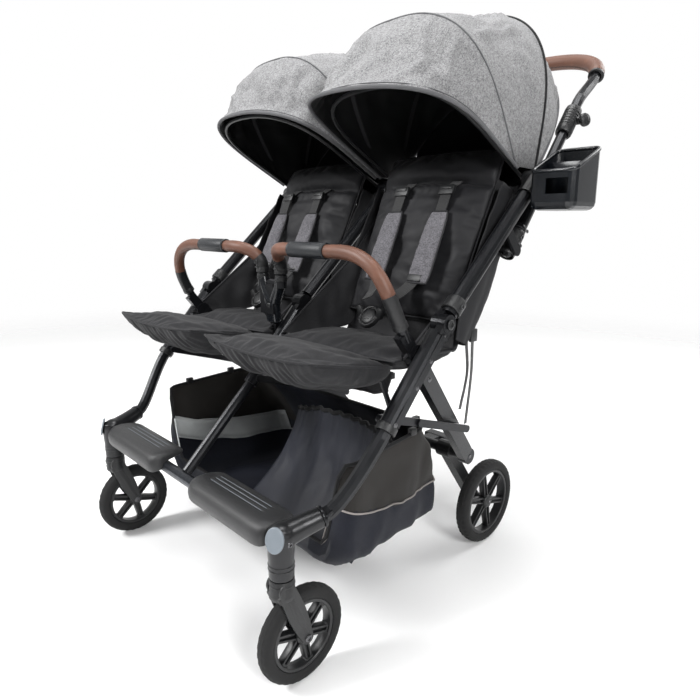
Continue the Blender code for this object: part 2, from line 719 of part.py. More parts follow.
for tag, side in SIDES:
    centre = Vector((REAR_X * side, REAR_Y, REAR_RADIUS))
    wheel("rear", tag, centre, REAR_RADIUS, REAR_RIM_RADIUS, REAR_WIDTH,
          pivot("rear_wheel_axis_" + tag, centre))

    caster_body = pivot("caster_axis_" + tag, (STEM_X * side, 0.0, HEAD_LOW))
    centre = Vector((STEM_X * side, TRAIL, FRONT_RADIUS))
    wheel("front", tag, centre, FRONT_RADIUS, FRONT_RIM_RADIUS, FRONT_WIDTH,
          pivot("front_wheel_axis_" + tag, centre))
    x = STEM_X * side
    fork = rod("caster_fork_" + tag, Vector((x, 0.0, HEAD_LOW)), Vector((x, 0.0, STEM_LOW - GAP)), 0.0195, 20)
    plates = []
    for hand in (-1.0, 1.0):
        plate_x = x + hand * (FRONT_WIDTH / 2 + GAP + 0.0004 + FORK_PLATE / 2)
        plates.append(beam("fork_plate_%s_%d" % (tag, hand), Vector((plate_x, -0.002, 0.178)),
                           Vector((plate_x, TRAIL, FRONT_RADIUS)), 0.024, FORK_PLATE, extend=0.011))
    joined(fork, *plates)
    place(fork, black_plastic, caster_body)


# Folding links

def link(name, start, end, x_low, x_high, look, body, boss=None, pin=None):
    middle = (x_low + x_high) / 2
    bar = beam(name, at(middle, start), at(middle, end), LINK_WIDE, abs(x_high - x_low))
    ends = [disc(name + "_a", x_low, x_high, start, LINK_WIDE / 2, 12),
            disc(name + "_b", x_low, x_high, end, LINK_WIDE / 2, 12)]
    if boss is not None:
        ends.append(disc(name + "_boss", middle, boss, start, LINK_WIDE / 2 - FACE_STEP / 2, 12))
    if pin is not None:
        ends.append(disc(name + "_pin", middle, pin, end, LINK_PIN, 12))
    joined(bar, *ends)
    return place(bar, look, body)


rear_rivet_distance = (at(0, LINK_REAR) - at(0, CROSSING)).length
leg_face = rear_leg_x(rear_rivet_distance - LINK_PIN) + REAR_LEG_THICK / 2 + 2 * GAP
for tag, side in SIDES:
    near = SIDE_X - SLEEVE_RADIUS - GAP
    inner_high = near - LINK_THICK - GAP
    link("front_link_" + tag, LINK_FRONT, LINK_MID, (inner_high - LINK_THICK) * side, inner_high * side,
         black_plastic, front_links_body, near * side)
    link("rear_link_" + tag, LINK_MID, LINK_REAR, (inner_high + GAP) * side, near * side,
         black_plastic, rear_links_body, None, leg_face * side)
centre_near = CENTRE_SLEEVE + GAP
link("front_link_C", LINK_FRONT, LINK_MID, centre_near, centre_near + LINK_THICK,
     black_plastic, front_links_body)
link("rear_link_C", LINK_MID, LINK_REAR, centre_near + LINK_THICK + GAP, centre_near + 2 * LINK_THICK + GAP,
     black_plastic, rear_links_body, None, CENTRE_REAR_X + (REAR_LEG_THICK - FACE_STEP) / 2 + 2 * GAP)


# Handle: one bar across both seats, its two release sleeves and the grip

def handle_side(side):
    """Half of the bar's centre line, from one barrel to the middle."""
    start = at(HANDLE_X * side, HANDLE_FOOT)
    bend = at(HANDLE_X * side, along(HANDLE_FOOT, HANDLE_LINE, HANDLE_RUN))
    shoulder = Vector(((HANDLE_X - 0.002) * side, *HANDLE_SHOULDER))
    crown = Vector(((HANDLE_X - 0.222) * side, BAR_TOP_Y, BAR_TOP_Z))
    up = Vector((0.0, math.cos(HANDLE_LINE), math.sin(HANDLE_LINE)))
    lower = bezier(bend, bend + up * 0.022, shoulder - Vector((0.0, 0.026, 0.0225)), shoulder, 5)
    upper = bezier(shoulder, shoulder + Vector((0.0, 0.046, 0.040)),
                   Vector(((HANDLE_X - 0.062) * side, BAR_TOP_Y, BAR_TOP_Z)), crown, 9)
    return start, lower, upper


start_r, lower_r, upper_r = handle_side(1.0)
start_l, lower_l, upper_l = handle_side(-1.0)
bar_points = [start_r] + lower_r + upper_r[1:] + upper_l[::-1] + lower_l[::-1][1:] + [start_l]
bar = tube("handle_bar", bar_points, HANDLE_TUBE, 2)
barrels = []
for tag, side in SIDES:
    foot = at(HANDLE_X * side, HANDLE_FOOT)
    head = at(HANDLE_X * side, along(HANDLE_FOOT, HANDLE_LINE, BARREL_LENGTH))
    barrels.append(rod("handle_barrel_" + tag, foot, head, HANDLE_BARREL, 16))
    barrels.append(ball("handle_foot_" + tag, foot, HANDLE_BARREL - 0.0003))
joined(bar, *barrels)
place(bar, dark_tube, handle_body)

grip_points = upper_r[1:] + upper_l[::-1][:-1]
grip = sleeve_over("handle_grip", grip_points, GRIP_RADIUS, GRIP_RADIUS - GRIP_BORE, 2)
place(grip, brown_leather, handle_body)

for tag, side in SIDES:
    middle = at(HANDLE_X * side, along(HANDLE_FOOT, HANDLE_LINE, TRIGGER_START + TRIGGER_LENGTH / 2))
    half = TRIGGER_LENGTH / 2
    bore = HANDLE_TUBE + SLIDE
    profile = ((bore, half), (TRIGGER_RADIUS - 0.002, half), (TRIGGER_RADIUS, half - 0.004),
               (TRIGGER_RADIUS, -half + 0.010), (TRIGGER_RADIUS - 0.0015, -half), (bore, -half))
    direction = Vector((0.0, math.cos(HANDLE_LINE), math.sin(HANDLE_LINE)))
    trigger = turned("fold_trigger_" + tag, profile, middle, direction, 20)
    place(trigger, black_plastic, pivot("fold_trigger_axis_" + tag, middle))

# Caddy hung on the handle's right barrel: its rim slopes up to the rear
block_tall = CADDY_TALL + 0.030
block_middle = Vector((CADDY_X, CADDY_Y, CADDY_LOW + block_tall / 2))
caddy = box("caddy", (CADDY_WIDE, CADDY_DEEP, block_tall), block_middle, 0.0, 0.014, 3)
hollow = box("caddy_hollow", (CADDY_WIDE - 2 * CADDY_WALL, CADDY_DEEP - 2 * CADDY_WALL, block_tall),
             block_middle + Vector((0.0, 0.0, CADDY_WALL)), 0.0, 0.011, 3)
rim_slope = math.atan2(CADDY_DROP, CADDY_DEEP / 2)
lid_rise = Vector((0.0, -math.sin(rim_slope), math.cos(rim_slope))) * CADDY_TALL / 2
lid = box("caddy_lid", (CADDY_WIDE + 0.02, 2.4 * CADDY_DEEP, CADDY_TALL),
          Vector((CADDY_X, CADDY_Y, CADDY_RIM)) + lid_rise, rim_slope)
window = box("caddy_window", (0.48 * CADDY_WIDE, 0.020, 0.24 * CADDY_TALL),
             Vector((CADDY_X + 0.12 * CADDY_WIDE, CADDY_Y - CADDY_DEEP / 2, CADDY_LOW + 0.377 * CADDY_TALL)))
cut(caddy, hollow, lid, window)
clip_low = HANDLE_X + HANDLE_BARREL + SLIDE
clip_high = CADDY_X - CADDY_WIDE / 2 + 0.002
clip_y = CADDY_Y + CADDY_DEEP / 2 - 0.0125
clip = box("caddy_clip", (clip_high - clip_low, 0.021, 0.024),
           Vector(((clip_low + clip_high) / 2, clip_y, CADDY_LOW + 0.24 * CADDY_TALL)))
joined(caddy, clip)
place(caddy, caddy_plastic, handle_body)


# Canopies: front bow and fabric shell about the top pivots

def rib_point(rib, turn, centre, half):
    """Point of an arched rib: turn runs from 0 at +X to pi at -X."""
    foot, crown, (shoulder, flank), bow = rib
    cosine, sine = math.cos(turn), max(math.sin(turn), 0.0)
    across = math.copysign(abs(cosine) ** (2.0 / shoulder), cosine)
    rise = sine ** (2.0 / flank)
    spread = (1.0 - across * across) * rise
    return Vector((centre + half * across, foot[0] + (crown[0] - foot[0]) * rise + bow[0] * spread,
                   foot[1] + (crown[1] - foot[1]) * rise + bow[1] * spread))


def rib_between(first, second, share):
    """Rib part of the way from the first to the second."""
    made = []
    for one, other in zip(first, second):
        made.append(tuple(a + (b - a) * share for a, b in zip(one, other)))
    return made


def canopy_ribs():
    main = (BRIM, MIDDLE_RIB, REAR_RIB, REAR_HEM)
    ribs = []
    for first, second, steps in zip(main, main[1:], CANOPY_STEPS):
        ribs += [rib_between(first, second, index / steps) for index in range(steps)]
    return ribs + [REAR_HEM]


brim_line = Vector(BRIM[1]) - Vector(TOP)
bow_angle = math.atan2(brim_line.y, brim_line.x)
bow_reach = brim_line.length - BOW_RADIUS - CANOPY_WALL / 2 - BOW_CLEAR
bow_rib = (along(TOP, bow_angle, BOW_FOOT), along(TOP, bow_angle, bow_reach), BRIM[2], (0.0, 0.0))
BOW_STEPS = 20
for tag, side in SIDES:
    bm = bmesh.new()
    rows = []
    for rib in canopy_ribs():
        rows.append([bm.verts.new(rib_point(rib, math.pi * step / ARCH_STEPS, CANOPY_X * side, CANOPY_HALF))
                     for step in range(ARCH_STEPS + 1)])
    for first, second in zip(rows, rows[1:]):
        for step in range(ARCH_STEPS):
            bm.faces.new((first[step], second[step], second[step + 1], first[step + 1]))
    bmesh.ops.recalc_face_normals(bm, faces=bm.faces)
    canopy = mesh_object("canopy_" + tag, bm)
    wall = canopy.modifiers.new("wall", "SOLIDIFY")
    wall.thickness = CANOPY_WALL
    wall.offset = 0.0
    place(canopy, heather_fabric, upper_body)

    bow_body = pivot("canopy_axis_" + tag, (CANOPY_X * side, *TOP))
    bow_centre = (BOW_INNER_X + BOW_OUTER_X) / 2 * side
    bow_half = (BOW_OUTER_X - BOW_INNER_X) / 2
    bow_points = [rib_point(bow_rib, math.pi * step / BOW_STEPS, bow_centre, bow_half)
                  for step in range(BOW_STEPS + 1)]
    hub_shift = Vector((0.0, math.cos(bow_angle), math.sin(bow_angle))) * (BOW_FOOT - 0.002)
    bow_points = [bow_points[0] - hub_shift] + bow_points + [bow_points[-1] - hub_shift]
    bow = tube("canopy_bow_" + tag, bow_points, BOW_RADIUS, 1)
    place(bow, black_plastic, bow_body)


# Seats, backrests, leg rests and harness
back_run = Vector((0.0, math.cos(BACK_ANGLE), math.sin(BACK_ANGLE)))
back_front = Vector((0.0, -math.sin(BACK_ANGLE), math.cos(BACK_ANGLE)))


def on_back(x, run, lift):
    return Vector((x, *RECLINE)) + back_run * run + back_front * lift


def back_shell(tag, side):
    """Cover behind the backrest, from its side edges round the rear, shallow at the foot."""
    bm = bmesh.new()
    rows = []
    for run, deep in SHELL_ROWS:
        section = ((BACK_HALF - 0.010, 0.002), (SHELL_HALF, 0.002), (SHELL_HALF, -deep),
                   (-SHELL_HALF, -deep), (-SHELL_HALF, 0.002), (0.010 - BACK_HALF, 0.002))
        rows.append([bm.verts.new(on_back(SEAT_X * side + x, run, lift)) for x, lift in section])
    for first, second in zip(rows, rows[1:]):
        for index in range(len(first) - 1):
            bm.faces.new((first[index], first[index + 1], second[index + 1], second[index]))
    bmesh.ops.recalc_face_normals(bm, faces=bm.faces)
    shell = mesh_object("back_shell_" + tag, bm)
    wall = shell.modifiers.new("wall", "SOLIDIFY")
    wall.thickness = SHELL_WALL
    wall.offset = 0.0
    return shell


for tag, side in SIDES:
    pan = box("seat_pan_" + tag, (2 * SEAT_HALF, SEAT_BACK_Y - SEAT_FRONT_Y, SEAT_THICK),
              Vector((SEAT_X * side, (SEAT_BACK_Y + SEAT_FRONT_Y) / 2, SEAT_LOW + SEAT_THICK / 2)),
              0.0, 0.008)
    place(pan, charcoal_fabric, frame_body)

    rest_body = pivot("leg_rest_axis_" + tag, (SEAT_X * side, *REST_HINGE))
    rest_out = Vector((0.0, -math.cos(REST_TILT), -math.sin(REST_TILT)))
    rest_up = Vector((0.0, -math.sin(REST_TILT), math.cos(REST_TILT)))
    rest_centre = (at(SEAT_X * side, REST_HINGE) + rest_out * (REST_LENGTH / 2 + 0.0030)
                   + rest_up * (REST_THICK / 2 + 0.0020))
    rest = box("leg_rest_" + tag, (2 * REST_HALF, REST_LENGTH, REST_THICK), rest_centre, REST_TILT, 0.010)
    place(rest, charcoal_fabric, rest_body)

    back_body = pivot("recline_axis_" + tag, (SEAT_X * side, *RECLINE))
    back = box("backrest_" + tag, (2 * BACK_HALF, BACK_LENGTH, BACK_THICK),
               on_back(SEAT_X * side, BACK_START + BACK_LENGTH / 2, 0.0), BACK_ANGLE, 0.012)
    tab_low, tab_high = CENTRE_UPPER + GAP, SEAT_X - BACK_HALF + 0.006
    tab = box("backrest_tab_" + tag, (tab_high - tab_low, 0.040, 0.010),
              on_back((tab_low + tab_high) / 2 * side, TAB_RUN, 0.0), BACK_ANGLE)
    joined(back, tab, back_shell(tag, side))
    place(back, black_fabric, back_body)

    lift = BACK_THICK / 2 + GAP + 0.006
    pads = []
    for index, (pad_x, pad_low) in enumerate(PADS):
        pads.append(box("harness_pad_%s_%d" % (tag, index), (0.046, PAD_TOP - pad_low, 0.012),
                        on_back(pad_x * side, (pad_low + PAD_TOP) / 2, lift), BACK_ANGLE, 0.004))
    low_lift = BACK_THICK / 2 + GAP + 0.002
    yoke_low = on_back((SEAT_X + 0.005) * side, BACK_START + 0.024, low_lift + 0.001)
    webs = []
    for index, (pad_x, pad_low) in enumerate(PADS):
        web_top = on_back(pad_x * side, pad_low + 0.009, low_lift + 0.001)
        web = rod("harness_web_%s_%d" % (tag, index), yoke_low, web_top, 0.0022, 8)
        webs.append(web)
    yoke = box("harness_yoke_%s" % tag, (0.030, 0.020, 0.005), yoke_low, BACK_ANGLE)
    harness = joined(pads[0], pads[1], webs[0], webs[1], yoke)
    harness.name = "harness_" + tag
    place(harness, heather_fabric, back_body)

    buckle_normal = Vector((0.0, -0.80, 0.60))
    buckle_centre = Vector((SEAT_X * side, 0.318, 0.5360))
    buckle = rod("buckle_" + tag, buckle_centre - buckle_normal * 0.007,
                 buckle_centre + buckle_normal * 0.007, 0.0210, 20)
    stalk = box("buckle_stalk_" + tag, (0.026, 0.004, 0.0560),
                Vector((SEAT_X * side, 0.3180, SEAT_LOW + SEAT_THICK + GAP + 0.0280)))
    button_end = buckle_centre + buckle_normal * 0.0085
    pocket = rod("buckle_pocket_" + tag, buckle_centre + buckle_normal * 0.0010, button_end, 0.0100, 16)
    joined(buckle, stalk)
    cut(buckle, pocket)
    place(buckle, black_plastic, frame_body)
    button = rod("buckle_button_" + tag, buckle_centre + buckle_normal * 0.0040, button_end, 0.0093, 16)
    place(button, grey_plastic, pivot("buckle_button_axis_" + tag, buckle_centre))


# Bumper bars with their centre grips
for tag, side in SIDES:
    outer_x = REAR_LEG_X
    inner_foot = Vector((BUMPER_INNER_X * side, *BUMPER_INNER))
    outer_foot = Vector((outer_x * side, *BUMPER_OUTER))
    inner_top = Vector(((BUMPER_INNER_X + BUMPER_BEND) * side, *BUMPER_TOP))
    outer_top = Vector(((REAR_LEG_X - BUMPER_FALL) * side, *BUMPER_TOP))
    rise_in = bezier(inner_foot + UP * 0.006, inner_foot + UP * 0.042,
                     inner_top - Vector((0.046 * side, 0.0, 0.0)), inner_top, 7)
    fall_out = bezier(outer_top, outer_top + Vector((0.085 * side, 0.0, 0.0)), outer_foot + LEAN * 0.079,
                      outer_foot + LEAN * 0.006, 9)
    bumper_points = [inner_foot] + rise_in + fall_out + [outer_foot]
    bumper = tube("bumper_bar_" + tag, bumper_points, BUMPER_RADIUS, 2)
    bumper_body = pivot("bumper_axis_" + tag, inner_foot)
    place(bumper, brown_leather, bumper_body)
    grip_inner = inner_top + Vector((GRIP_INSET * side, 0.0, 0.0))
    grip_outer = outer_top - Vector((GRIP_OUTSET * side, 0.0, 0.0))
    bore = BUMPER_RADIUS + GAP
    half = abs(grip_outer.x - grip_inner.x) / 2
    profile = ((bore, half), (BUMPER_GRIP, half), (BUMPER_GRIP, -half), (bore, -half))
    cover = turned("bumper_grip_" + tag, profile, (grip_inner + grip_outer) / 2, Vector((1.0, 0.0, 0.0)), 20)
    place(cover, grey_plastic, bumper_body)


# Basket: an open tub of fabric slung between the legs

def basket_ring(bm, front, rear, front_half, rear_half, z_front, z_rear):
    """Closed ring of points with rounded corners, front edge first."""
    ring = []
    corners = ((front_half, front, 1.0, -1.0), (rear_half, rear, 1.0, 1.0),
               (-rear_half, rear, -1.0, 1.0), (-front_half, front, -1.0, -1.0))
    for number, (x, y, x_sign, y_sign) in enumerate(corners):
        for step in range(3):
            turn = math.radians(45.0 * step)
            if number % 2:
                turn = math.radians(90.0) - turn
            point_x = x - x_sign * BASKET_CORNER * (1.0 - math.sin(turn))
            point_y = y - y_sign * BASKET_CORNER * (1.0 - math.cos(turn))
            share = (point_y - front) / (rear - front)
            ring.append(bm.verts.new((point_x, point_y, z_front + (z_rear - z_front) * share)))
    return ring


# Rim, two rings of the side, the turn of the bottom and the bottom's own edge
bm = bmesh.new()
rings = [
    basket_ring(bm, BASKET_FRONT + 0.006, BASKET_REAR - 0.104, BASKET_HALF - 0.001, BASKET_HALF - 0.010,
                BASKET_RIM_Z, BASKET_RIM_Z + 0.014),
    basket_ring(bm, BASKET_FRONT + 0.002, BASKET_REAR - 0.054, BASKET_HALF, BASKET_HALF - 0.021,
                BASKET_RIM_Z - 0.071, BASKET_RIM_Z - 0.050),
    basket_ring(bm, BASKET_FRONT, BASKET_REAR - 0.010, BASKET_HALF - 0.001, BASKET_HALF - 0.037,
                BASKET_RIM_Z - 0.136, BASKET_RIM_Z - 0.126),
    basket_ring(bm, BASKET_FRONT + 0.024, BASKET_REAR, BASKET_HALF - 0.019, BASKET_HALF - 0.051,
                BASKET_FLOOR_Z + 0.036, BASKET_FLOOR_Z + 0.016),
    basket_ring(bm, BASKET_FRONT + 0.089, BASKET_REAR - 0.036, BASKET_HALF - 0.073, BASKET_HALF - 0.103,
                BASKET_FLOOR_Z + 0.010, BASKET_FLOOR_Z),
]
for upper_ring, lower_ring in zip(rings, rings[1:]):
    count = len(upper_ring)
    for index in range(count):
        following = (index + 1) % count
        bm.faces.new((upper_ring[index], lower_ring[index], lower_ring[following], upper_ring[following]))
bm.faces.new(rings[-1])
bmesh.ops.recalc_face_normals(bm, faces=bm.faces)
basket = mesh_object("basket", bm)
basket_wall = basket.modifiers.new("wall", "SOLIDIFY")
basket_wall.thickness = BASKET_WALL
basket_wall.offset = -1.0
loops = []
for tag, side in SIDES:
    corner = Vector(((BASKET_HALF - 0.017) * side, BASKET_FRONT + 0.024, BASKET_RIM_Z - 0.004))
    tube_point = leg_sweep(side)[6]
    reach = (tube_point - corner).normalized()
    loops.append(rod("basket_loop_" + tag, corner, tube_point - reach * (LEG_TUBE + GAP), 0.0035, 8))
joined(basket, *loops)
place(basket, black_fabric, frame_body)
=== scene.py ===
import json
import math

import bmesh
import bpy
from bpy.props import FloatProperty, FloatVectorProperty, PointerProperty
from mathutils import Matrix, Vector, noise
from mathutils.kdtree import KDTree

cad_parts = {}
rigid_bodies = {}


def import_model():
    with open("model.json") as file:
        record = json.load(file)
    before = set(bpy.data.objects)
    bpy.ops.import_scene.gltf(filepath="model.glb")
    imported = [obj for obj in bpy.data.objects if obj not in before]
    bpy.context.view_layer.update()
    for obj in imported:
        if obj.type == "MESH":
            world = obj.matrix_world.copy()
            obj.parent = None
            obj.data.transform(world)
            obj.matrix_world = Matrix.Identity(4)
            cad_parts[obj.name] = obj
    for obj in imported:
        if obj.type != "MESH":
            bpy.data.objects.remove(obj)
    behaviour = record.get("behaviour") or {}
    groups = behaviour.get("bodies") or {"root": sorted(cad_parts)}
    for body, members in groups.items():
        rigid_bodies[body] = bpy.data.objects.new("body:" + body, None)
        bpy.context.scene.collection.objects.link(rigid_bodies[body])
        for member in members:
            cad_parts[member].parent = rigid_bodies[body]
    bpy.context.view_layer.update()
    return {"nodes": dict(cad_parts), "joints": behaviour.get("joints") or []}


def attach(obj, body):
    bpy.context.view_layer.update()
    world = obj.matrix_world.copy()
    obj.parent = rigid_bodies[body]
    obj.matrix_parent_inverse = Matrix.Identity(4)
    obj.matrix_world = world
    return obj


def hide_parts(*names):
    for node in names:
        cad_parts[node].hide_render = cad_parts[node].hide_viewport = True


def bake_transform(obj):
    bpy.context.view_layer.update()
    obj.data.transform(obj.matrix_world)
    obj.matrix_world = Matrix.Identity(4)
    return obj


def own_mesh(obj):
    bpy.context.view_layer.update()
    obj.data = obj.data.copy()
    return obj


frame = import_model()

bl_info = {
    "name": "Double Stroller Dressing",
    "version": (1, 0, 0),
    "blender": (4, 5, 0),
    "location": "View3D > Sidebar > Stroller",
    "description": "Dresses the frame of a double stroller with its fabrics, wheels and finishes",
    "category": "Add Mesh",
}

# Places read from the frame: points on the joints' axes

JOINTS = {joint["name"]: joint for joint in frame["joints"]}


def joint_place(name):
    return Vector(JOINTS[name]["pos_m"])


FOLD = joint_place("fold")
CROSSING = joint_place("rear_fold")
HOOD_PIVOT = joint_place("hood_turn_right")
RECLINE = joint_place("recline_right")
HANDLE_FOOT = joint_place("handle_fold")
CASTER = joint_place("caster_swivel_right")
FRONT_HUB = joint_place("front_wheel_spin_right")
REAR_HUB = joint_place("rear_wheel_spin_right")
BUMPER_INNER = joint_place("bumper_gate_right")

SIDES = (("R", 1.0, "right"), ("L", -1.0, "left"))
SIDE_X = 0.368
SEAT_X = RECLINE.x
HANDLE_FOOT_X = SIDE_X - 0.016
BUTTON = Vector((SEAT_X, 0.318, 0.536))

UPPER_RUN = Vector((0.0, HOOD_PIVOT.y - FOLD.y, HOOD_PIVOT.z - FOLD.z)).normalized()
UPPER_REAR = Vector((0.0, UPPER_RUN.z, -UPPER_RUN.y))
LEG_RUN = Vector((0.0, 0.6691, 0.7431))
HANDLE_RUN = Vector((0.0, 0.6264, 0.7795))
BACK_LEAN = math.radians(65.4)
BACK_RUN = Vector((0.0, math.cos(BACK_LEAN), math.sin(BACK_LEAN)))
BACK_FRONT = Vector((0.0, -math.sin(BACK_LEAN), math.cos(BACK_LEAN)))


# Sizes and colours that a user would change

def colour(name, about, default):
    return FloatVectorProperty(name=name, description=about, subtype="COLOR", default=default)


class StageSettings(bpy.types.PropertyGroup):
    camera_place: FloatVectorProperty(
        name="Camera place", description="Where the camera stands", subtype="TRANSLATION", unit="LENGTH",
        default=(0.9278, -0.443, 0.7132))
    camera_yaw: FloatProperty(
        name="Camera yaw", description="Turn of the camera about the vertical", subtype="ANGLE",
        unit="ROTATION", default=0.810144)
    camera_pitch: FloatProperty(
        name="Camera pitch", description="How far the camera looks down", subtype="ANGLE",
        unit="ROTATION", default=0.22384)
    camera_roll: FloatProperty(
        name="Camera roll", description="Turn of the camera about its own axis", subtype="ANGLE",
        unit="ROTATION", default=-0.0028)
    lens: FloatProperty(
        name="Lens", description="Focal length in millimetres on a 36 mm sensor", default=29.16)
    floor: colour("Floor", "Colour of the floor", (0.9, 0.9, 0.9))
    backdrop: FloatVectorProperty(
        name="Backdrop", description="Direction of the white backdrop", subtype="DIRECTION",
        default=(-0.706, 0.672, -0.222))
    room: FloatProperty(
        name="Room light", description="Brightness of the room away from the backdrop", default=0.26)


class ClothSettings(bpy.types.PropertyGroup):
    hood: colour("Hoods", "Pale thread of the hoods' heather cloth", (0.33, 0.33, 0.333))
    hood_thread: colour("Hood thread", "Dark thread of the hoods' heather cloth", (0.07, 0.07, 0.073))
    lining: colour("Lining", "Coated lining inside the hoods", (0.006, 0.006, 0.0065))
    seat: colour("Seat cloth", "Charcoal cloth of leg rests and seats", (0.016, 0.016, 0.0175))
    back: colour("Back cloth", "Black cloth of the backrests", (0.0078, 0.0078, 0.009))
    pads: colour("Shoulder pads", "Heather cloth of the shoulder pads", (0.175, 0.17, 0.185))
    basket: colour("Basket", "Nylon of the basket", (0.0085, 0.0095, 0.0145))
    piping: colour("Basket piping", "Pale cord in the basket's seam", (0.24, 0.22, 0.21))
    band: colour("Reflective band", "Silver band inside the basket", (0.5, 0.52, 0.52))
    crease: FloatProperty(
        name="Crease depth", description="Height of the soft folds in the hoods", unit="LENGTH",
        default=0.0095)


class HardSettings(bpy.types.PropertyGroup):
    frame: colour("Frame", "Graphite coat of the frame", (0.0125, 0.013, 0.015))
    tube: colour("Bright tube", "Anodised grey of the cross tube", (0.05, 0.054, 0.062))
    plastic: colour("Plastic", "Black moulded fittings", (0.008, 0.0084, 0.0092))
    plate: colour("Footrests", "Grey moulded footrest plates", (0.0125, 0.0127, 0.0138))
    cap: colour("Caps", "Light grey end caps", (0.165, 0.19, 0.215))
    leather: colour("Leather", "Brown cover of bumper bars and handle", (0.108, 0.046, 0.028))
    caddy: colour("Caddy", "Glossy blue-black plastic of the caddy", (0.004, 0.0052, 0.0072))
    rubber: colour("Rubber", "Foam rubber of the tyres", (0.0072, 0.0072, 0.0074))


# Shader maths

class Value:
    """A socket in a material, so that shader maths reads as an expression."""

    def __init__(self, paint, socket):
        self.paint = paint
        self.socket = socket

    def __add__(self, other):
        return self.paint.calc("ADD", self, other)

    def __radd__(self, other):
        return self.paint.calc("ADD", other, self)

    def __sub__(self, other):
        return self.paint.calc("SUBTRACT", self, other)

    def __rsub__(self, other):
        return self.paint.calc("SUBTRACT", other, self)

    def __mul__(self, other):
        return self.paint.calc("MULTIPLY", self, other)

    def __rmul__(self, other):
        return self.paint.calc("MULTIPLY", other, self)

    def __pow__(self, other):
        return self.paint.calc("POWER", self, other)

    def sine(self):
        return self.paint.calc("SINE", self)

    def size(self):
        return self.paint.calc("ABSOLUTE", self)

    def step(self, low, high):
        """0 below low, 1 above high, smooth between."""
        return self.paint.node("ShaderNodeMapRange", {"interpolation_type": "SMOOTHSTEP"},
                               {"Value": self, "From Min": low, "From Max": high})


class Paint:
    """One material and its node tree."""

    def __init__(self, name):
        self.material = bpy.data.materials.new(name)
        self.material.use_nodes = True
        self.tree = self.material.node_tree
        self.skin = self.tree.nodes["Principled BSDF"]

    def node(self, kind, settings=None, sockets=None, out=0):
        made = self.tree.nodes.new(kind)
        for key, value in (settings or {}).items():
            setattr(made, key, value)
        for key, value in (sockets or {}).items():
            if isinstance(value, Value):
                self.tree.links.new(value.socket, made.inputs[key])
            else:
                made.inputs[key].default_value = value
        return Value(self, made.outputs[out])

    def calc(self, operation, *values):
        return self.node("ShaderNodeMath", {"operation": operation}, dict(enumerate(values)))

    def place(self):
        """Position in the object's own metres."""
        return self.node("ShaderNodeTexCoord", out="Object")

    def along(self, axis):
        return self.node("ShaderNodeSeparateXYZ", None, {0: self.place()}, "XYZ".index(axis))

    def stretched(self, scale):
        return self.node("ShaderNodeVectorMath", {"operation": "MULTIPLY"}, {0: self.place(), 1: scale})

    def noise(self, scale, detail=3.0, rough=0.5, twist=0.0):
        """Soft noise from 0 to 1. A tuple as scale stretches it along the axes."""
        where = self.stretched(scale if isinstance(scale, tuple) else (scale, scale, scale))
        sockets = {"Vector": where, "Scale": 1.0, "Detail": detail, "Roughness": rough, "Distortion": twist}
        return self.node("ShaderNodeTexNoise", None, sockets)

    def cells(self, scale, feature="F1"):
        where = self.stretched((scale, scale, scale))
        return self.node("ShaderNodeTexVoronoi", {"feature": feature}, {"Vector": where, "Scale": 1.0})

    def mix(self, share, low, high):
        """Colour between low and high by share."""
        full = [(*colour, 1.0) if isinstance(colour, (tuple, list)) else colour for colour in (low, high)]
        return self.node("ShaderNodeMix", {"data_type": "RGBA"}, {0: share, 6: full[0], 7: full[1]}, 2)

    def relief(self, height, distance, strength=1.0):
        sockets = {"Height": height, "Distance": distance, "Strength": strength}
        return self.node("ShaderNodeBump", None, sockets)

    def finish(self, **sockets):
        names = {"colour": "Base Color", "roughness": "Roughness", "metallic": "Metallic", "normal": "Normal",
                 "coat": "Coat Weight", "coat_roughness": "Coat Roughness", "sheen": "Sheen Weight",
                 "sheen_roughness": "Sheen Roughness", "specular": "Specular IOR Level", "alpha": "Alpha"}
        for key, value in sockets.items():
            socket = self.skin.inputs[names[key]]
            if isinstance(value, Value):
                self.tree.links.new(value.socket, socket)
            elif key == "colour":
                socket.default_value = (*value, 1.0)
            else:
                socket.default_value = value
        return self.material


def tint(colour, factor):
    return tuple(min(1.0, channel * factor) for channel in colour)


def coated_metal(name, colour, roughness=0.36, metallic=0.75):
    """Satin coat on aluminium: fine orange peel, faint scuffs and paler patches at random."""
    paint = Paint(name)
    scuff = paint.noise(9.0, 5.0, 0.62).step(0.5, 0.78)
    hair = paint.noise((60.0, 260.0, 260.0), 2.0).step(0.62, 0.8)
    speck = paint.noise(1900.0, 1.0)
    shade = paint.mix(scuff * 0.5 + hair * 0.25, tuple(colour), tint(colour, 1.55))
    return paint.finish(colour=shade, roughness=roughness - 0.05 + scuff * 0.12 + speck * 0.04,
                        metallic=metallic, normal=paint.relief(speck, 0.00006))


def moulded_plastic(name, colour, roughness=0.48, grain=0.00012, coat=0.0):
    """Spark-eroded plastic: fine grain, slight mottling and paler rub marks."""
    paint = Paint(name)
    mottle = paint.noise(38.0, 4.0, 0.6)
    rub = paint.noise(11.0, 3.0).step(0.55, 0.8)
    pits = paint.cells(1500.0)
    shade = paint.mix(mottle * 0.35 + rub * 0.45, tint(colour, 0.86), tint(colour, 1.45))
    return paint.finish(colour=shade, roughness=roughness - 0.06 + mottle * 0.12 - rub * 0.05, coat=coat,
                        coat_roughness=0.18, normal=paint.relief(pits, grain))


def foam_rubber(name, colour):
    """Dull foamed tyre with dust in its pores."""
    paint = Paint(name)
    dust = paint.noise(26.0, 5.0, 0.66).step(0.42, 0.75)
    pores = paint.noise(900.0, 2.0)
    shade = paint.mix(dust * 0.6, tuple(colour), tint(colour, 2.3))
    return paint.finish(colour=shade, roughness=0.72 + dust * 0.18, specular=0.35,
                        normal=paint.relief(pores, 0.00025))


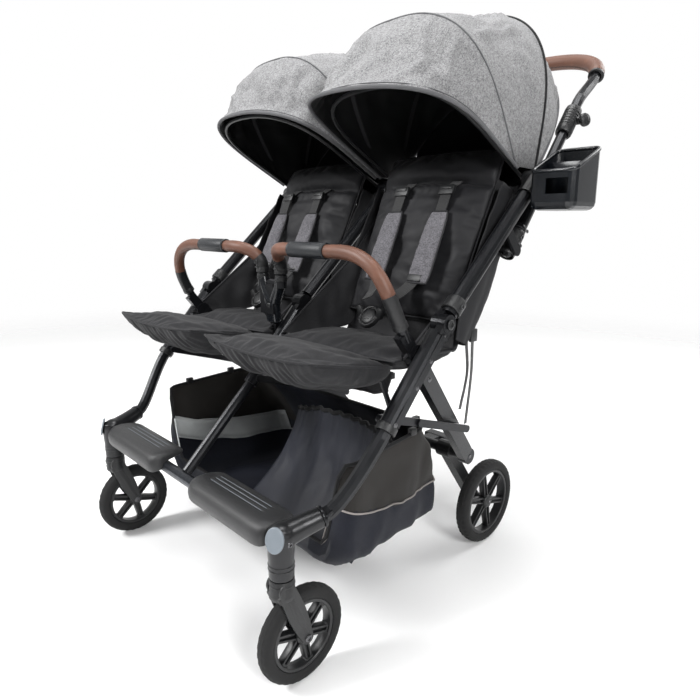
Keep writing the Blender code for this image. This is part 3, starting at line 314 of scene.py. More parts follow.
def leather_cover(name, colour):
    """Brown leather look: pebbled grain, patchy darker and paler tone, and paler worn spots."""
    paint = Paint(name)
    pebble = paint.cells(620.0, "SMOOTH_F1")
    fine = paint.noise(1500.0, 2.0)
    patch = paint.noise(16.0, 4.0, 0.6)
    worn = paint.noise(34.0, 3.0).step(0.48, 0.74)
    deep = paint.mix(patch, tint(colour, 0.74), tint(colour, 1.28))
    shade = paint.mix(worn * 0.45, deep, tint(colour, 1.75))
    grain = pebble * 0.8 + fine * 0.2
    return paint.finish(colour=shade, roughness=0.4 + patch * 0.12 + pebble * 0.08, specular=0.45,
                        normal=paint.relief(grain, 0.00035, 0.7))


def heather_cloth(name, pale, dark, contrast=1.0, thread=1.0, sheen=0.06):
    """Woven cloth of pale and dark fibres: short streaks along both threads and a fine weave, under large
    soft clouds of painted shade.
    """
    paint = Paint(name)
    weft = paint.noise((170.0 * thread, 900.0 * thread, 900.0 * thread), 3.0, 0.65)
    warp = paint.noise((950.0 * thread, 210.0 * thread, 210.0 * thread), 3.0, 0.65)
    fleck = paint.noise(520.0 * thread, 2.0, 0.7)
    shade_cloud = paint.noise(7.0, 3.0, 0.55)
    fibre = (weft * 0.42 + warp * 0.28 + fleck * 0.3 - 0.5) * (2.6 * contrast) + 0.56
    shade = paint.mix(fibre.step(0.0, 1.0), tuple(dark), tuple(pale))
    # Painted shade: large soft clouds darken the cloth towards its dark thread.
    painted_shade_clouds = paint.mix(shade_cloud * 0.22, shade, tint(dark, 0.9))
    return paint.finish(colour=painted_shade_clouds, roughness=0.86 + fleck * 0.1, sheen=sheen, sheen_roughness=0.45,
                        specular=0.25, normal=paint.relief(weft * 0.5 + warp * 0.5, 0.00055, 0.8))


def plain_cloth(name, colour, weave=900.0, lift=1.9, roughness=0.78, sheen=0.05, depth=0.0004):
    """Dark plain weave: crossing threads, faint sheen and slow changes of tone."""
    paint = Paint(name)
    threads_x = (paint.along("X") * weave * 3.2).sine()
    threads_z = ((paint.along("Z") + paint.along("Y") * 0.6) * weave * 3.2).sine()
    weave_height = threads_x * threads_z * 0.25 + 0.5
    fuzz = paint.noise(700.0, 3.0, 0.7)
    tone = paint.noise(9.0, 4.0, 0.6).step(0.3, 0.75)
    share = weave_height * 0.35 + fuzz * 0.35 + tone * 0.3
    shade = paint.mix(share, tint(colour, 0.62), tint(colour, lift))
    return paint.finish(colour=shade, roughness=roughness + fuzz * 0.12, sheen=sheen, sheen_roughness=0.4,
                        specular=0.3, normal=paint.relief(weave_height * 0.5 + fuzz * 0.5, depth, 0.7))


def webbing_cloth(name, colour):
    """Narrow webbing with ribs across it."""
    paint = Paint(name)
    ribs = ((paint.along("Z") + paint.along("Y") * 0.35) * 3300.0).sine() * 0.5 + 0.5
    cords = (paint.along("X") * 2200.0).sine() * 0.5 + 0.5
    fuzz = paint.noise(800.0, 2.0)
    shade = paint.mix(ribs * 0.4 + cords * 0.3 + fuzz * 0.2, tint(colour, 0.6), tint(colour, 2.0))
    return paint.finish(colour=shade, roughness=0.7, sheen=0.15, normal=paint.relief(ribs * cords, 0.0005))


def reflective_cloth(name, colour):
    """Silver reflective tape: glass beads on grey cloth, crossed by a few soft creases with painted shade in
    their hollows and painted light on their ridges.
    """
    paint = Paint(name)
    beads = paint.noise(1300.0, 2.0)
    crease = paint.noise((60.0, 22.0, 30.0), 3.0, 0.6, 0.8)
    # The crease field also tints the colour: painted shade in the hollows, painted light on the ridges.
    shade = paint.mix(crease * 0.5 + beads * 0.3, tint(colour, 0.78), tint(colour, 1.12))
    return paint.finish(colour=shade, roughness=0.42 + beads * 0.2, metallic=0.15,
                        normal=paint.relief(beads * 0.4 + crease * 0.6, 0.0009))


def floor_paint(name, colour):
    """Pale studio floor that fades into the white surroundings."""
    paint = Paint(name)
    grain = paint.noise(3.0, 4.0)
    away = paint.node("ShaderNodeVectorMath", {"operation": "LENGTH"}, {0: paint.place()}, "Value")
    far = away.step(1.6, 4.2)
    material = paint.finish(colour=paint.mix(grain * 0.05, tuple(colour), tint(colour, 0.96)), roughness=0.9)
    clear = paint.tree.nodes.new("ShaderNodeBsdfTransparent")
    blend = paint.tree.nodes.new("ShaderNodeMixShader")
    output = paint.tree.nodes["Material Output"]
    paint.tree.links.new(far.socket, blend.inputs[0])
    paint.tree.links.new(paint.skin.outputs[0], blend.inputs[1])
    paint.tree.links.new(clear.outputs[0], blend.inputs[2])
    paint.tree.links.new(blend.outputs[0], output.inputs["Surface"])
    return material


def finishes_of(cloth, hard):
    """Each finish: what makes it, its material's name and its values."""
    return {
        "frame": (coated_metal, "graphite_coat", hard.frame, 0.31, 0.55),
        "tube": (coated_metal, "anodised_grey", hard.tube, 0.3, 0.85),
        "plastic": (moulded_plastic, "black_fitting", hard.plastic, 0.44),
        "rim": (moulded_plastic, "black_rim", hard.plastic, 0.4, 0.00008),
        "plate": (moulded_plastic, "grey_footrest", hard.plate, 0.42, 0.00018),
        "casting": (coated_metal, "grey_casting", tint(hard.plate, 1.35), 0.33, 0.45),
        "cap": (moulded_plastic, "light_cap", hard.cap, 0.42, 0.00006),
        "caddy": (moulded_plastic, "caddy_gloss", hard.caddy, 0.24, 0.00005, 0.1),
        "grip": (moulded_plastic, "blue_black_grip", tint(hard.caddy, 1.35), 0.46, 0.00014),
        "rubber": (foam_rubber, "tyre_foam", hard.rubber),
        "leather": (leather_cover, "brown_leather_look", hard.leather),
        "stitch": (webbing_cloth, "dark_stitching", tint(hard.leather, 0.35)),
        "steel": (coated_metal, "rivet_steel", (0.1, 0.1, 0.105), 0.28, 0.95),
        "hood": (heather_cloth, "hood_heather", cloth.hood, cloth.hood_thread, 1.35, 0.8),
        "lining": (plain_cloth, "hood_lining", cloth.lining, 700.0, 1.7, 0.62, 0.03),
        "binding": (plain_cloth, "hood_binding", tint(cloth.hood_thread, 1.35), 1200.0, 1.6),
        "piping": (plain_cloth, "hood_piping", tint(cloth.lining, 1.4), 1200.0, 1.5),
        "seat": (heather_cloth, "seat_charcoal", tint(cloth.seat, 1.6), tint(cloth.seat, 0.42), 0.8, 1.2),
        "back": (plain_cloth, "back_black", cloth.back, 800.0, 2.2, 0.55, 0.05),
        "wing": (plain_cloth, "wing_black", tint(cloth.back, 0.85), 900.0, 2.2, 0.62, 0.04),
        "pads": (heather_cloth, "pad_heather", tint(cloth.pads, 1.15), tint(cloth.pads, 0.22), 1.2, 0.9),
        "webbing": (webbing_cloth, "black_webbing", (0.008, 0.008, 0.0085)),
        "basket": (plain_cloth, "basket_nylon", cloth.basket, 1100.0, 2.2, 0.5, 0.04),
        "basket_mesh": (plain_cloth, "basket_mesh", (0.0115, 0.01, 0.0088), 1500.0, 2.0, 0.66),
        "basket_low": (heather_cloth, "basket_lower", tint(cloth.basket, 1.7), tint(cloth.basket, 0.6)),
        "cord": (plain_cloth, "basket_piping", cloth.piping, 1500.0, 1.3),
        "band": (reflective_cloth, "reflective_band", cloth.band),
    }


made_finishes = {}


def finish(name):
    """The material of that name, made when it is first asked for."""
    if name not in made_finishes:
        scene = bpy.context.scene
        maker, *values = finishes_of(scene.stroller_cloth, scene.stroller_hard)[name]
        made_finishes[name] = maker(*values)
    return made_finishes[name]


# Mesh making

def mirrored(point, side):
    return Vector((point[0] * side, point[1], point[2]))


def ease(share):
    share = min(max(share, 0.0), 1.0)
    return share * share * (3.0 - 2.0 * share)


def mix(low, high, share):
    return low + (high - low) * share


def smooth_path(points, count):
    """Points evenly numbered along a smooth curve through the given ones."""
    knots = [Vector(point) for point in points]
    knots = [knots[0] * 2 - knots[1]] + knots + [knots[-1] * 2 - knots[-2]]
    path = []
    spans = len(knots) - 3
    for index in range(count + 1):
        place = min(index / count * spans, spans - 1e-9)
        span = int(place)
        t = place - span
        a, b, c, d = knots[span:span + 4]
        path.append(0.5 * (2 * b + (c - a) * t + (2 * a - 5 * b + 4 * c - d) * t * t
                           + (3 * b - a - 3 * c + d) * t ** 3))
    return path


def run_at(points, index):
    """Direction of a line of points at one of them."""
    return (points[min(index + 1, len(points) - 1)] - points[max(index - 1, 0)]).normalized()


def circle(steps):
    """Angles of a full turn in even steps."""
    return [2 * math.pi * step / steps for step in range(steps)]


class Shape:
    """A mesh under way, with the finishes of its faces."""

    def __init__(self, *finishes):
        self.bm = bmesh.new()
        self.finishes = finishes

    def slot(self, name):
        return self.finishes.index(name)

    def sheet(self, rows, look, closed=False):
        """Skin over rows of points. Closed joins each row's end to its start."""
        made = [[self.bm.verts.new(point) for point in row] for row in rows]
        count = len(rows[0])
        for first, second in zip(made, made[1:]):
            for index in range(count if closed else count - 1):
                after = (index + 1) % count
                face = self.bm.faces.new((first[index], first[after], second[after], second[index]))
                face.material_index = self.slot(look)
                face.smooth = True
        return made

    def lid(self, ring, look):
        face = self.bm.faces.new(ring)
        face.material_index = self.slot(look)

    def ends(self, made, look):
        """Lids on both ends of a tube of rows."""
        self.lid(made[0][::-1], look)
        self.lid(made[-1], look)

    def tube(self, points, radius, look, sides=12, flat=1.0, up=None, caps=True):
        """Tube along points. radius is one number or one for each point. flat squeezes it across up."""
        points = [Vector(point) for point in points]
        radii = radius if isinstance(radius, (list, tuple)) else [radius] * len(points)
        rings = []
        guide = Vector(up) if up is not None else Vector((0.31, 0.22, 0.93))
        for index, point in enumerate(points):
            run = run_at(points, index)
            across = run.cross(guide)
            if across.length < 1e-5:
                across = run.cross(Vector((1.0, 0.0, 0.0)))
            across.normalize()
            top = across.cross(run)
            if up is None:
                guide = top
            rings.append([point + (across * math.cos(turn) + top * math.sin(turn) * flat) * radii[index]
                          for turn in circle(sides)])
        made = self.sheet(rings, look, True)
        if caps:
            self.ends(made, look)

    def lathe(self, profile, centre, axis, look, steps=40, closed=False):
        """Profile of (radius, height) turned about axis through centre."""
        axis = Vector(axis).normalized()
        across = axis.orthogonal().normalized()
        other = axis.cross(across)
        rings = [[Vector(centre) + axis * height + (across * math.cos(turn) + other * math.sin(turn)) * radius
                  for turn in circle(steps)]
                 for radius, height in profile]
        if closed:
            rings.append(rings[0])
        made = self.sheet(rings, look, True)
        if not closed:
            if profile[0][0] > 1e-6:
                self.lid(made[0][::-1], look)
            if profile[-1][0] > 1e-6:
                self.lid(made[-1], look)

    def block(self, centre, size, look, turn=None, bevel=0.0, segments=2):
        """Box with rounded edges. turn is a 3x3 matrix."""

        def faces_of(verts):
            return list(dict.fromkeys(face for vert in verts for face in vert.link_faces))

        grown = bmesh.ops.create_cube(self.bm, size=1.0)["verts"]
        bmesh.ops.scale(self.bm, vec=Vector(size), verts=grown)
        faces = faces_of(grown)
        for face in faces:
            face.material_index = self.slot(look)
        if bevel:
            edges = list(dict.fromkeys(edge for face in faces for edge in face.edges))
            made = bmesh.ops.bevel(self.bm, geom=edges, offset=bevel, segments=segments, profile=0.5,
                                   affect="EDGES")
            rounds = [vert for face in made["faces"] for vert in face.verts]
            grown = list(dict.fromkeys(rounds + [vert for vert in grown if vert.is_valid]))
            for face in faces_of(grown):
                face.material_index = self.slot(look)
                face.smooth = True
        if turn is not None:
            bmesh.ops.rotate(self.bm, cent=Vector((0.0, 0.0, 0.0)), matrix=turn, verts=grown)
        bmesh.ops.translate(self.bm, vec=Vector(centre), verts=grown)

    def piece(self, name, weld=0.00002, sharp=40.0):
        if weld:
            bmesh.ops.remove_doubles(self.bm, verts=self.bm.verts, dist=weld)
        bmesh.ops.recalc_face_normals(self.bm, faces=self.bm.faces)
        mesh = bpy.data.meshes.new(name)
        self.bm.to_mesh(mesh)
        self.bm.free()
        for polygon in mesh.polygons:
            polygon.use_smooth = True
        mesh.set_sharp_from_angle(angle=math.radians(sharp))
        made = bpy.data.objects.new(name, mesh)
        for look in self.finishes:
            mesh.materials.append(finish(look))
        bpy.context.scene.collection.objects.link(made)
        return made


def thicken(piece, thickness, inner=0, rim=0, offset=-1.0):
    """Give an open sheet its second side."""
    wall = piece.modifiers.new("cloth_thickness", "SOLIDIFY")
    wall.thickness = thickness
    wall.offset = offset
    wall.material_offset = inner
    wall.material_offset_rim = rim
    return piece


def rounded(piece, levels=1):
    fine = piece.modifiers.new("fine_surface", "SUBSURF")
    fine.levels = levels
    fine.render_levels = levels
    return piece


def inflate(piece, held, pressure=4.0, slack=0.04, frames=20, cap=0.012):
    """Fill a closed pad with air as cloth, with the held points sewn down."""
    scene = bpy.context.scene
    group = piece.vertex_groups.new(name="sewn")
    group.add(held, 1.0, "REPLACE")
    cloth = piece.modifiers.new("filling", "CLOTH")
    cloth.settings.vertex_group_mass = "sewn"
    cloth.settings.use_pressure = True
    cloth.settings.uniform_pressure_force = pressure
    cloth.settings.shrink_min = -slack
    cloth.settings.quality = 6
    cloth.settings.tension_stiffness = 20.0
    cloth.settings.compression_stiffness = 20.0
    cloth.settings.bending_stiffness = 0.8
    cloth.settings.effector_weights.gravity = 0.0
    cloth.point_cache.frame_start = 1
    cloth.point_cache.frame_end = frames
    for number in range(1, frames + 1):
        scene.frame_set(number)
    shown = piece.evaluated_get(bpy.context.evaluated_depsgraph_get())
    moved = [vert.co.copy() for vert in shown.data.vertices]
    for vert, place in zip(piece.data.vertices, moved):
        step = place - vert.co
        if step.length > cap:
            step = step * (cap / step.length)
        vert.co = vert.co + step
    piece.modifiers.remove(cloth)
    piece.vertex_groups.remove(group)
    scene.frame_set(1)
    return piece


def crinkle(point, size, depth, seed=0.0):
    """Soft random fold height at a point."""
    where = Vector((point[0] / size[0], point[1] / size[1], point[2] / size[2])) + Vector((seed, seed, seed))
    return noise.fractal(where, 0.8, 2.1, 3) * depth


def wear(piece, body, slot=None, *replaced):
    """Let a piece ride on its body and stand for the nodes that it covers."""
    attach(piece, body)
    if replaced:
        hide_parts(*replaced)
    return piece


# Stage

def build_stage(settings):
    world = bpy.data.worlds.new("studio")
    bpy.context.scene.world = world
    world.use_nodes = True
    tree = world.node_tree
    tree.nodes["Background"].inputs["Color"].default_value = (1.0, 1.0, 1.0, 1.0)
    # White backdrop behind the stroller, dimmer room in every other direction
    where = tree.nodes.new("ShaderNodeTexCoord")
    toward = tree.nodes.new("ShaderNodeVectorMath")
    toward.operation = "DOT_PRODUCT"
    toward.inputs[1].default_value = settings.backdrop
    spread = tree.nodes.new("ShaderNodeMapRange")
    spread.interpolation_type = "SMOOTHSTEP"
    spread.inputs["From Min"].default_value = 0.15
    spread.inputs["From Max"].default_value = 0.64
    spread.inputs["To Min"].default_value = settings.room
    spread.inputs["To Max"].default_value = 1.0
    tree.links.new(where.outputs["Generated"], toward.inputs[0])
    tree.links.new(toward.outputs["Value"], spread.inputs["Value"])
    tree.links.new(spread.outputs["Result"], tree.nodes["Background"].inputs["Strength"])
    bpy.context.scene.view_settings.view_transform = "Standard"

    ground = Shape("seat")
    span = 6.0
    ground.sheet([[Vector((x, y, 0.0)) for x in (-span, 0.0, span)] for y in (-span, 0.0, span)], "seat")
    floor = ground.piece("studio_floor")
    floor.data.materials[0] = floor_paint("studio_floor_paint", settings.floor)

    lights = (
        ("key_softbox", (-1.3, -2.3, 2.6), 1.1, 135.0),
        ("right_softbox", (2.6, -0.6, 1.9), 1.0, 62.0),
        ("rear_softbox", (0.9, 2.6, 2.2), 1.6, 40.0),
        ("top_softbox", (0.0, 0.4, 3.0), 1.5, 60.0),
    )
    aim = Vector((0.0, 0.3, 0.5))
    for name, place, size, power in lights:
        light = bpy.data.lights.new(name, "AREA")
        light.shape = "DISK"
        light.size = size
        light.energy = power
        lamp = bpy.data.objects.new(name, light)
        lamp.location = place
        lamp.rotation_euler = (aim - Vector(place)).to_track_quat("-Z", "Y").to_euler()
        bpy.context.scene.collection.objects.link(lamp)

    camera = bpy.data.cameras.new("camera")
    camera.lens = settings.lens
    camera.sensor_width = 36.0
    camera.clip_start = 0.01
    eye = bpy.data.objects.new("camera", camera)
    turn = (Matrix.Rotation(settings.camera_yaw, 4, "Z")
            @ Matrix.Rotation(math.pi / 2 - settings.camera_pitch, 4, "X")
            @ Matrix.Rotation(settings.camera_roll, 4, "Z"))
    eye.matrix_world = Matrix.Translation(settings.camera_place) @ turn
    bpy.context.scene.collection.objects.link(eye)
    bpy.context.scene.camera = eye


# Finishes of the carried-over frame nodes

CARRIED = {
    "casting": ("corner_casting_R", "corner_casting_L"),
    "tube": ("front_cross_tube",),
    "plate": ("footrest_R", "footrest_L", "brake_pedal", "buckle_button_R", "buckle_button_L",
              "bumper_grip_R", "bumper_grip_L"),
    "frame": ("handle_bar", "front_leg_R", "front_leg_L", "front_leg_C",
              "upper_tube_R", "upper_tube_L", "upper_tube_C", "rear_leg_R", "rear_leg_L", "centre_post",
              "front_link_R", "front_link_L", "front_link_C",
              "rear_link_R", "rear_link_L", "rear_link_C"),
    "plastic": ("top_fitting_R", "top_fitting_L", "rear_axle", "caster_fork_R", "caster_fork_L",
                "fold_trigger_R", "fold_trigger_L", "canopy_bow_R", "canopy_bow_L", "buckle_R", "buckle_L"),
    "rim": ("rear_rim_R", "rear_rim_L", "front_rim_R", "front_rim_L"),
    "rubber": ("rear_tyre_R", "rear_tyre_L", "front_tyre_R", "front_tyre_L"),
    "leather": ("handle_grip", "bumper_bar_R", "bumper_bar_L"),
    "caddy": ("caddy",),
}


def coat_frame():
    for look, names in CARRIED.items():
        for name in names:
            node = frame["nodes"][name]
            node.data.materials.clear()
            node.data.materials.append(finish(look))


# Hoods: one curved sheet over four ribs on each seat

HOOD_INNER = 0.008
HOOD_OUTER = SIDE_X - 0.016
HOOD_WALL = 0.0022
BRIM_BOW = {1.0: (-0.064, -0.018), -1.0: (-0.016, -0.002)}
# Each rib: its foot, its crown, and the squareness of its shoulders and flanks
RIBS = (
    ((0.53, 0.808), (0.287, 0.937), (2.3, 5.2)),
    ((0.523, 0.81), (0.374, 1.058), (2.7, 4.1)),
    ((0.59, 0.808), (0.662, 1.122), (1.9, 3.5)),
    ((0.604, 0.813), (0.79, 1.035), (1.9, 2.6)),
)


def hood_rib(place):
    """Foot, crown and squareness between the ribs: place runs from 0 at the brim to 3 at the rear hem."""
    knots = [RIBS[0]] + list(RIBS) + [RIBS[-1]]
    place = min(max(place, 0.0), 2.9999)
    span = int(place)
    t = place - span
    weights = (0.5 * (-t + 2 * t * t - t ** 3), 0.5 * (2 - 5 * t * t + 3 * t ** 3),
               0.5 * (t + 4 * t * t - 3 * t ** 3), 0.5 * (t ** 3 - t * t))
    chosen = knots[span:span + 4]
    return [sum((Vector(rib[part]) * weight for rib, weight in zip(chosen, weights)), Vector((0.0, 0.0)))
            for part in range(3)]


def hood_point(place, turn, side, lift=0.0):
    """Point on the hood's cloth: turn runs from 0 at the outer foot to pi at the inner one."""
    foot, crown, (shoulder, flank) = hood_rib(place)
    cosine, sine = math.cos(turn), max(math.sin(turn), 0.0)
    across = math.copysign(abs(cosine) ** (2.0 / shoulder), cosine)
    rise = sine ** (2.0 / flank)
    share = place - math.floor(place)
    sag = math.sin(math.pi * share) * (0.009, 0.011, 0.006)[min(int(place), 2)] * sine
    spine = crown - foot
    reach = rise * (spine.length - sag + lift) / spine.length
    spread = (1.0 - across * across) * rise * max(0.0, 1.0 - place) ** 2
    bow = BRIM_BOW[side]
    half = (HOOD_OUTER - HOOD_INNER) / 2
    return Vector((((HOOD_INNER + HOOD_OUTER) / 2 + (half + lift * abs(across)) * across) * side,
                   foot[0] + spine[0] * reach + bow[0] * spread,
                   foot[1] + spine[1] * reach + bow[1] * spread))


# Tension lines in the hood's panels: place and turn at both ends, width and height in metres
CREASES = (
    ((0.94, 1.8), (0.52, 1.38), 0.013, 0.0065), ((0.52, 1.38), (0.14, 1.66), 0.012, 0.0055),
    ((0.88, 1.16), (0.38, 0.92), 0.013, 0.006), ((0.38, 0.92), (0.12, 1.2), 0.011, 0.0045),
    ((0.9, 2.2), (0.42, 2.42), 0.014, 0.0055), ((0.58, 2.05), (0.16, 2.3), 0.012, 0.005),
    ((0.8, 0.74), (0.3, 0.6), 0.012, 0.005), ((0.7, 1.58), (0.3, 1.9), 0.016, -0.006),
    ((1.86, 1.22), (1.34, 1.54), 0.014, 0.0055), ((1.72, 0.82), (1.2, 0.7), 0.013, 0.005),
    ((1.78, 2.02), (1.28, 2.24), 0.014, 0.0055), ((1.5, 1.0), (1.15, 1.3), 0.013, -0.0045),
    ((2.8, 1.0), (2.22, 1.24), 0.013, 0.0045), ((2.7, 1.92), (2.24, 1.7), 0.013, 0.0045),
    ((2.75, 0.6), (2.15, 0.45), 0.012, 0.004),
)


def crease_height(place, turn, side):
    """Sum of the tension lines at a place on the hood; the left hood's lines lie a little differently."""
    here = Vector((place * 0.16, (turn + (0.0 if side > 0 else 0.17 * math.sin(3.0 * place))) * 0.26))
    height = 0.0
    for start, end, width, rise in CREASES:
        first = Vector((start[0] * 0.16, start[1] * 0.26))
        run = Vector((end[0] * 0.16, end[1] * 0.26)) - first
        along = (here - first).dot(run) / run.length_squared
        share = min(max(along, 0.0), 1.0)
        away = (here - first - run * share).length
        fade = math.exp(-(max(0.0, along - 1.0, -along) * run.length / 0.02) ** 2)
        ridge = math.exp(-(away / width) ** 2) - 0.4 * math.exp(-(away / (2.6 * width)) ** 2)
        height += 1.45 * rise * fade * ridge
    return height


def hood_folds(point, place, turn, depth):
    """Soft folds in the panels, fading out at ribs and brim."""
    share = place - math.floor(place)
    free = math.sin(math.pi * min(max(share, 0.0), 1.0)) ** 0.6 if place < 2.9 else 0.4
    slack = 0.35 + 0.65 * math.sin(turn) ** 0.5 if 0.0 < turn < math.pi else 0.35
    broad = crinkle(point, (0.105, 0.08, 0.11), depth, 3.1)
    lean = Vector((point.x + point.z * 0.7, point.y, point.z - point.x * 0.7))
    sharp = abs(crinkle(lean, (0.045, 0.12, 0.085), depth, 7.7))
    fine = abs(crinkle(lean, (0.03, 0.07, 0.045), depth * 0.18, 1.9))
    lines = crease_height(place, turn, 1.0 if point.x > 0.0 else -1.0)
    return (broad - sharp * 0.9 - fine) * free * slack + lines * min(1.0, free * 1.4)


def spread_of(rows):
    """Greatest width, greatest length and area of a grid of points."""
    width = max(sum((b - a).length for a, b in zip(row, row[1:])) for row in rows)
    length = max(sum((b - a).length for a, b in zip(line, line[1:])) for line in zip(*rows))
    area = 0.0
    for first, second in zip(rows, rows[1:]):
        for a, b, c, d in zip(first, first[1:], second[1:], second):
            area += ((b - a).cross(c - a).length + (c - a).cross(d - a).length) / 2
    return width, length, area


def hood(tag, side, word, cloth):
    rows = []
    steps_along = 60
    steps_across = 80
    for row in range(steps_along + 1):
        place = 3.0 * row / steps_along
        line = []
        for step in range(steps_across + 1):
            turn = math.pi * step / steps_across
            base = hood_point(place, turn, side)
            fold = hood_folds(base, place, turn, cloth.crease)
            line.append(hood_point(place, turn, side, fold))
        rows.append(line)
    shape = Shape("hood", "lining", "binding")
    shape.sheet(rows, "hood")
    sheet = shape.piece("hood_" + tag, 0.0, 80.0)
    thicken(sheet, HOOD_WALL, 1, 2, 0.0)
    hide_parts("canopy_" + tag)
    pieces = [sheet]

    # Brim binding, the seam over the middle bow, piping over the rear bow, and the hem
    trims = (("brim", 0.006, 0.0034, "binding", 0.0), ("brim_stitch", 0.085, 0.0009, "binding", 0.0013),
             ("middle", 1.0, 0.0016, "binding", 0.0012), ("rear", 2.0, 0.0028, "piping", 0.0016),
             ("hem", 2.985, 0.0026, "binding", 0.0))
    for label, place, radius, look, lift in trims:
        path = [hood_point(place, math.pi * step / 72, side, lift) for step in range(73)]
        edging = Shape(look)
        edging.tube(path, radius, look, 8)
        trim = edging.piece("hood_%s_trim_%s" % (label, tag))
        pieces.append(trim)
    # Flat inner sleeves that hold the middle and rear bows
    for label, place, look in (("middle", 1.0, "back"), ("rear", 2.0, "lining")):
        band = []
        for offset in (-0.05, -0.02, 0.02, 0.05):
            lift = -0.003 if abs(offset) > 0.03 else -0.0115
            band.append([hood_point(place + offset, math.pi * step / 60, side, lift)
                         for step in range(1, 60)])
        sleeve = Shape(look)
        sleeve.sheet(band, look)
        made = sleeve.piece("hood_%s_sleeve_%s" % (label, tag))
        rounded(made, 1)
        pieces.append(made)

    rear = mirrored((SEAT_X, 0.66, 1.06), side)
    front = mirrored((SEAT_X, 0.33, 0.96), side)
    for made in pieces:
        "hood_bow_" + word
        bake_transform(made)
    width, length, area = spread_of(rows)
    "canopy_bow_" + tag
    "top_fitting_" + tag


def hood_curtain(tag, side):
    """Black cloth behind the head, from the rear hem down to the backrest's cover."""
    rows = []
    for step in range(49):
        turn = math.pi * (0.045 + 0.9 * step / 48)
        high = hood_point(2.93, turn, 1.0, -0.003)
        low = on_back(mix(0.331, 0.046, step / 48), 0.334, -0.05 - 0.01 * math.sin(turn))
        line = []
        for index in range(19):
            share = index / 18
            point = high.lerp(low, share)
            belly = math.sin(math.pi * share) * 0.018 * math.sin(turn)
            fold = crinkle(point, (0.04, 0.1, 0.12), 0.006, 5.5) * math.sin(math.pi * share)
            line.append(mirrored((point.x, point.y + belly + fold, point.z), side))
        rows.append(line)
    shape = Shape("lining")
    shape.sheet(rows, "lining")
    made = shape.piece("hood_curtain_" + tag, 0.0, 80.0)
    thicken(made, 0.0012, offset=0.0)
    mirrored((SEAT_X, 0.66, 0.93), side)
    mirrored((SEAT_X, 0.57, 0.79), side)
    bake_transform(made)
    width, length, area = spread_of(rows)


# Backrests, seats and the cloth round them

def on_back(x, run, lift):
    """Point in the right-hand backrest's own directions: across, up along it, and forward of it."""
    return Vector((x, RECLINE.y, RECLINE.z)) + BACK_RUN * run + BACK_FRONT * lift


def pillow(name, outline, top, bottom, finishes, looks, seam_look=None, seam=0.0022, across=44, along=34,
           **filling):
    """Closed pad between two skins that meet at a sewn edge.

    outline(u, v) gives the flat point, top(u, v) and bottom(u, v) the offset from it; u and v run 0 to 1.
    """
    shape = Shape(*finishes)
    top_rows = []
    bottom_rows = []
    for row in range(along + 1):
        v = row / along
        top_rows.append([outline(u / across, v) + top(u / across, v) for u in range(across + 1)])
        bottom_rows.append([outline(u / across, v) + bottom(u / across, v) for u in range(across + 1)])
    shape.sheet(top_rows, looks[0])
    shape.sheet(bottom_rows, looks[1])
    made = shape.piece(name, 0.00005, 80.0)
    edge = [outline(u / across, 0.0) for u in range(across + 1)]
    edge += [outline(1.0, v / along) for v in range(1, along + 1)]
    edge += [outline(1.0 - u / across, 1.0) for u in range(1, across + 1)]
    edge += [outline(0.0, 1.0 - v / along) for v in range(1, along)]
    tree = KDTree(len(made.data.vertices))
    for vert in made.data.vertices:
        tree.insert(vert.co, vert.index)
    tree.balance()
    held = sorted({index for point in edge for _, index, _ in tree.find_range(point, 0.0004)})
    inflate(made, held, **filling)
    if seam_look:
        trim = Shape(seam_look)
        trim.tube(edge + edge[:2], seam, seam_look, 8, caps=False)
        line = trim.piece(name + "_seam")
        line.parent = made
    return made


def dome(u, v, height, power=0.55):
    """Height of a crowned pad that meets its edges at zero."""
    return height * max(0.0, math.sin(math.pi * u)) ** power * max(0.0, math.sin(math.pi * v)) ** power


def backrest(tag, side, word):
    """Upper body pad with its headrest fold, quilted at the shoulder slots."""
    half_low, half_top = 0.134, 0.141
    run_low, run_top = 0.06, 0.402
    fold_share = 0.79

    def outline(u, v):
        half = mix(half_low, half_top, ease(v))
        corner = 0.92 + 0.08 * math.sqrt(max(0.0, 1.0 - max(0.0, (v - 0.9) / 0.1) ** 2)) if v > 0.9 else 1.0
        bow = 0.006 * math.sin(math.pi * u) if v > 0.5 else 0.0
        return on_back(SEAT_X + half * corner * (2 * u - 1), mix(run_low, run_top + bow, v), 0.006)

    def relief(u, v):
        head = ease((v - fold_share) / 0.1)
        groove = math.exp(-((v - fold_share) / 0.022) ** 2) * 0.85
        puff = dome(u, v, 0.027 + 0.008 * head, 0.4)
        wrinkle = crinkle((u * 0.3, v * 0.35, 0.0), (0.13, 0.05, 1.0), 0.0075, 2.0)
        ridge = 0.0034 * math.sin(9.0 * u + 4.0 * v + 1.3 * math.sin(7.0 * v)) * math.sin(math.pi * v)
        ridge += 0.0026 * math.sin(6.0 * u - 15.0 * v + 1.7 * math.sin(5.0 * u))
        near = math.exp(-((v - fold_share + 0.03) / 0.05) ** 2)
        gather = math.sin(u * 70.0 + 2.0 * math.sin(u * 11.0)) * 0.0016 * near
        free = min(1.0, 6 * u, 6 * (1 - u), 6 * v, 6 * (1 - v))
        return puff * (1.0 - groove) + (wrinkle + ridge + gather) * free

    def top(u, v):
        return BACK_FRONT * relief(u, v)

    def bottom(u, v):
        return BACK_FRONT * -dome(u, v, 0.024, 0.25)

    made = pillow("backrest_pad_" + tag, outline, top, bottom,
                  ("back", "seat"), ("back", "back"), "seat", 0.0018, 48, 60,
                  pressure=2.5, slack=0.03, frames=14, cap=0.006)
    place_on_side(made, side)
    rounded(made)
    wear(made, "backrest_" + word, "black_fabric", "backrest_" + tag)


def place_on_side(piece, side):
    """Mirror a piece made for the right-hand side, with whatever is parented to it."""
    if side > 0:
        return piece
    for made in [piece] + list(piece.children_recursive):
        made.data.transform(Matrix.Diagonal((-1.0, 1.0, 1.0, 1.0)))
        made.data.flip_normals()
    return piece


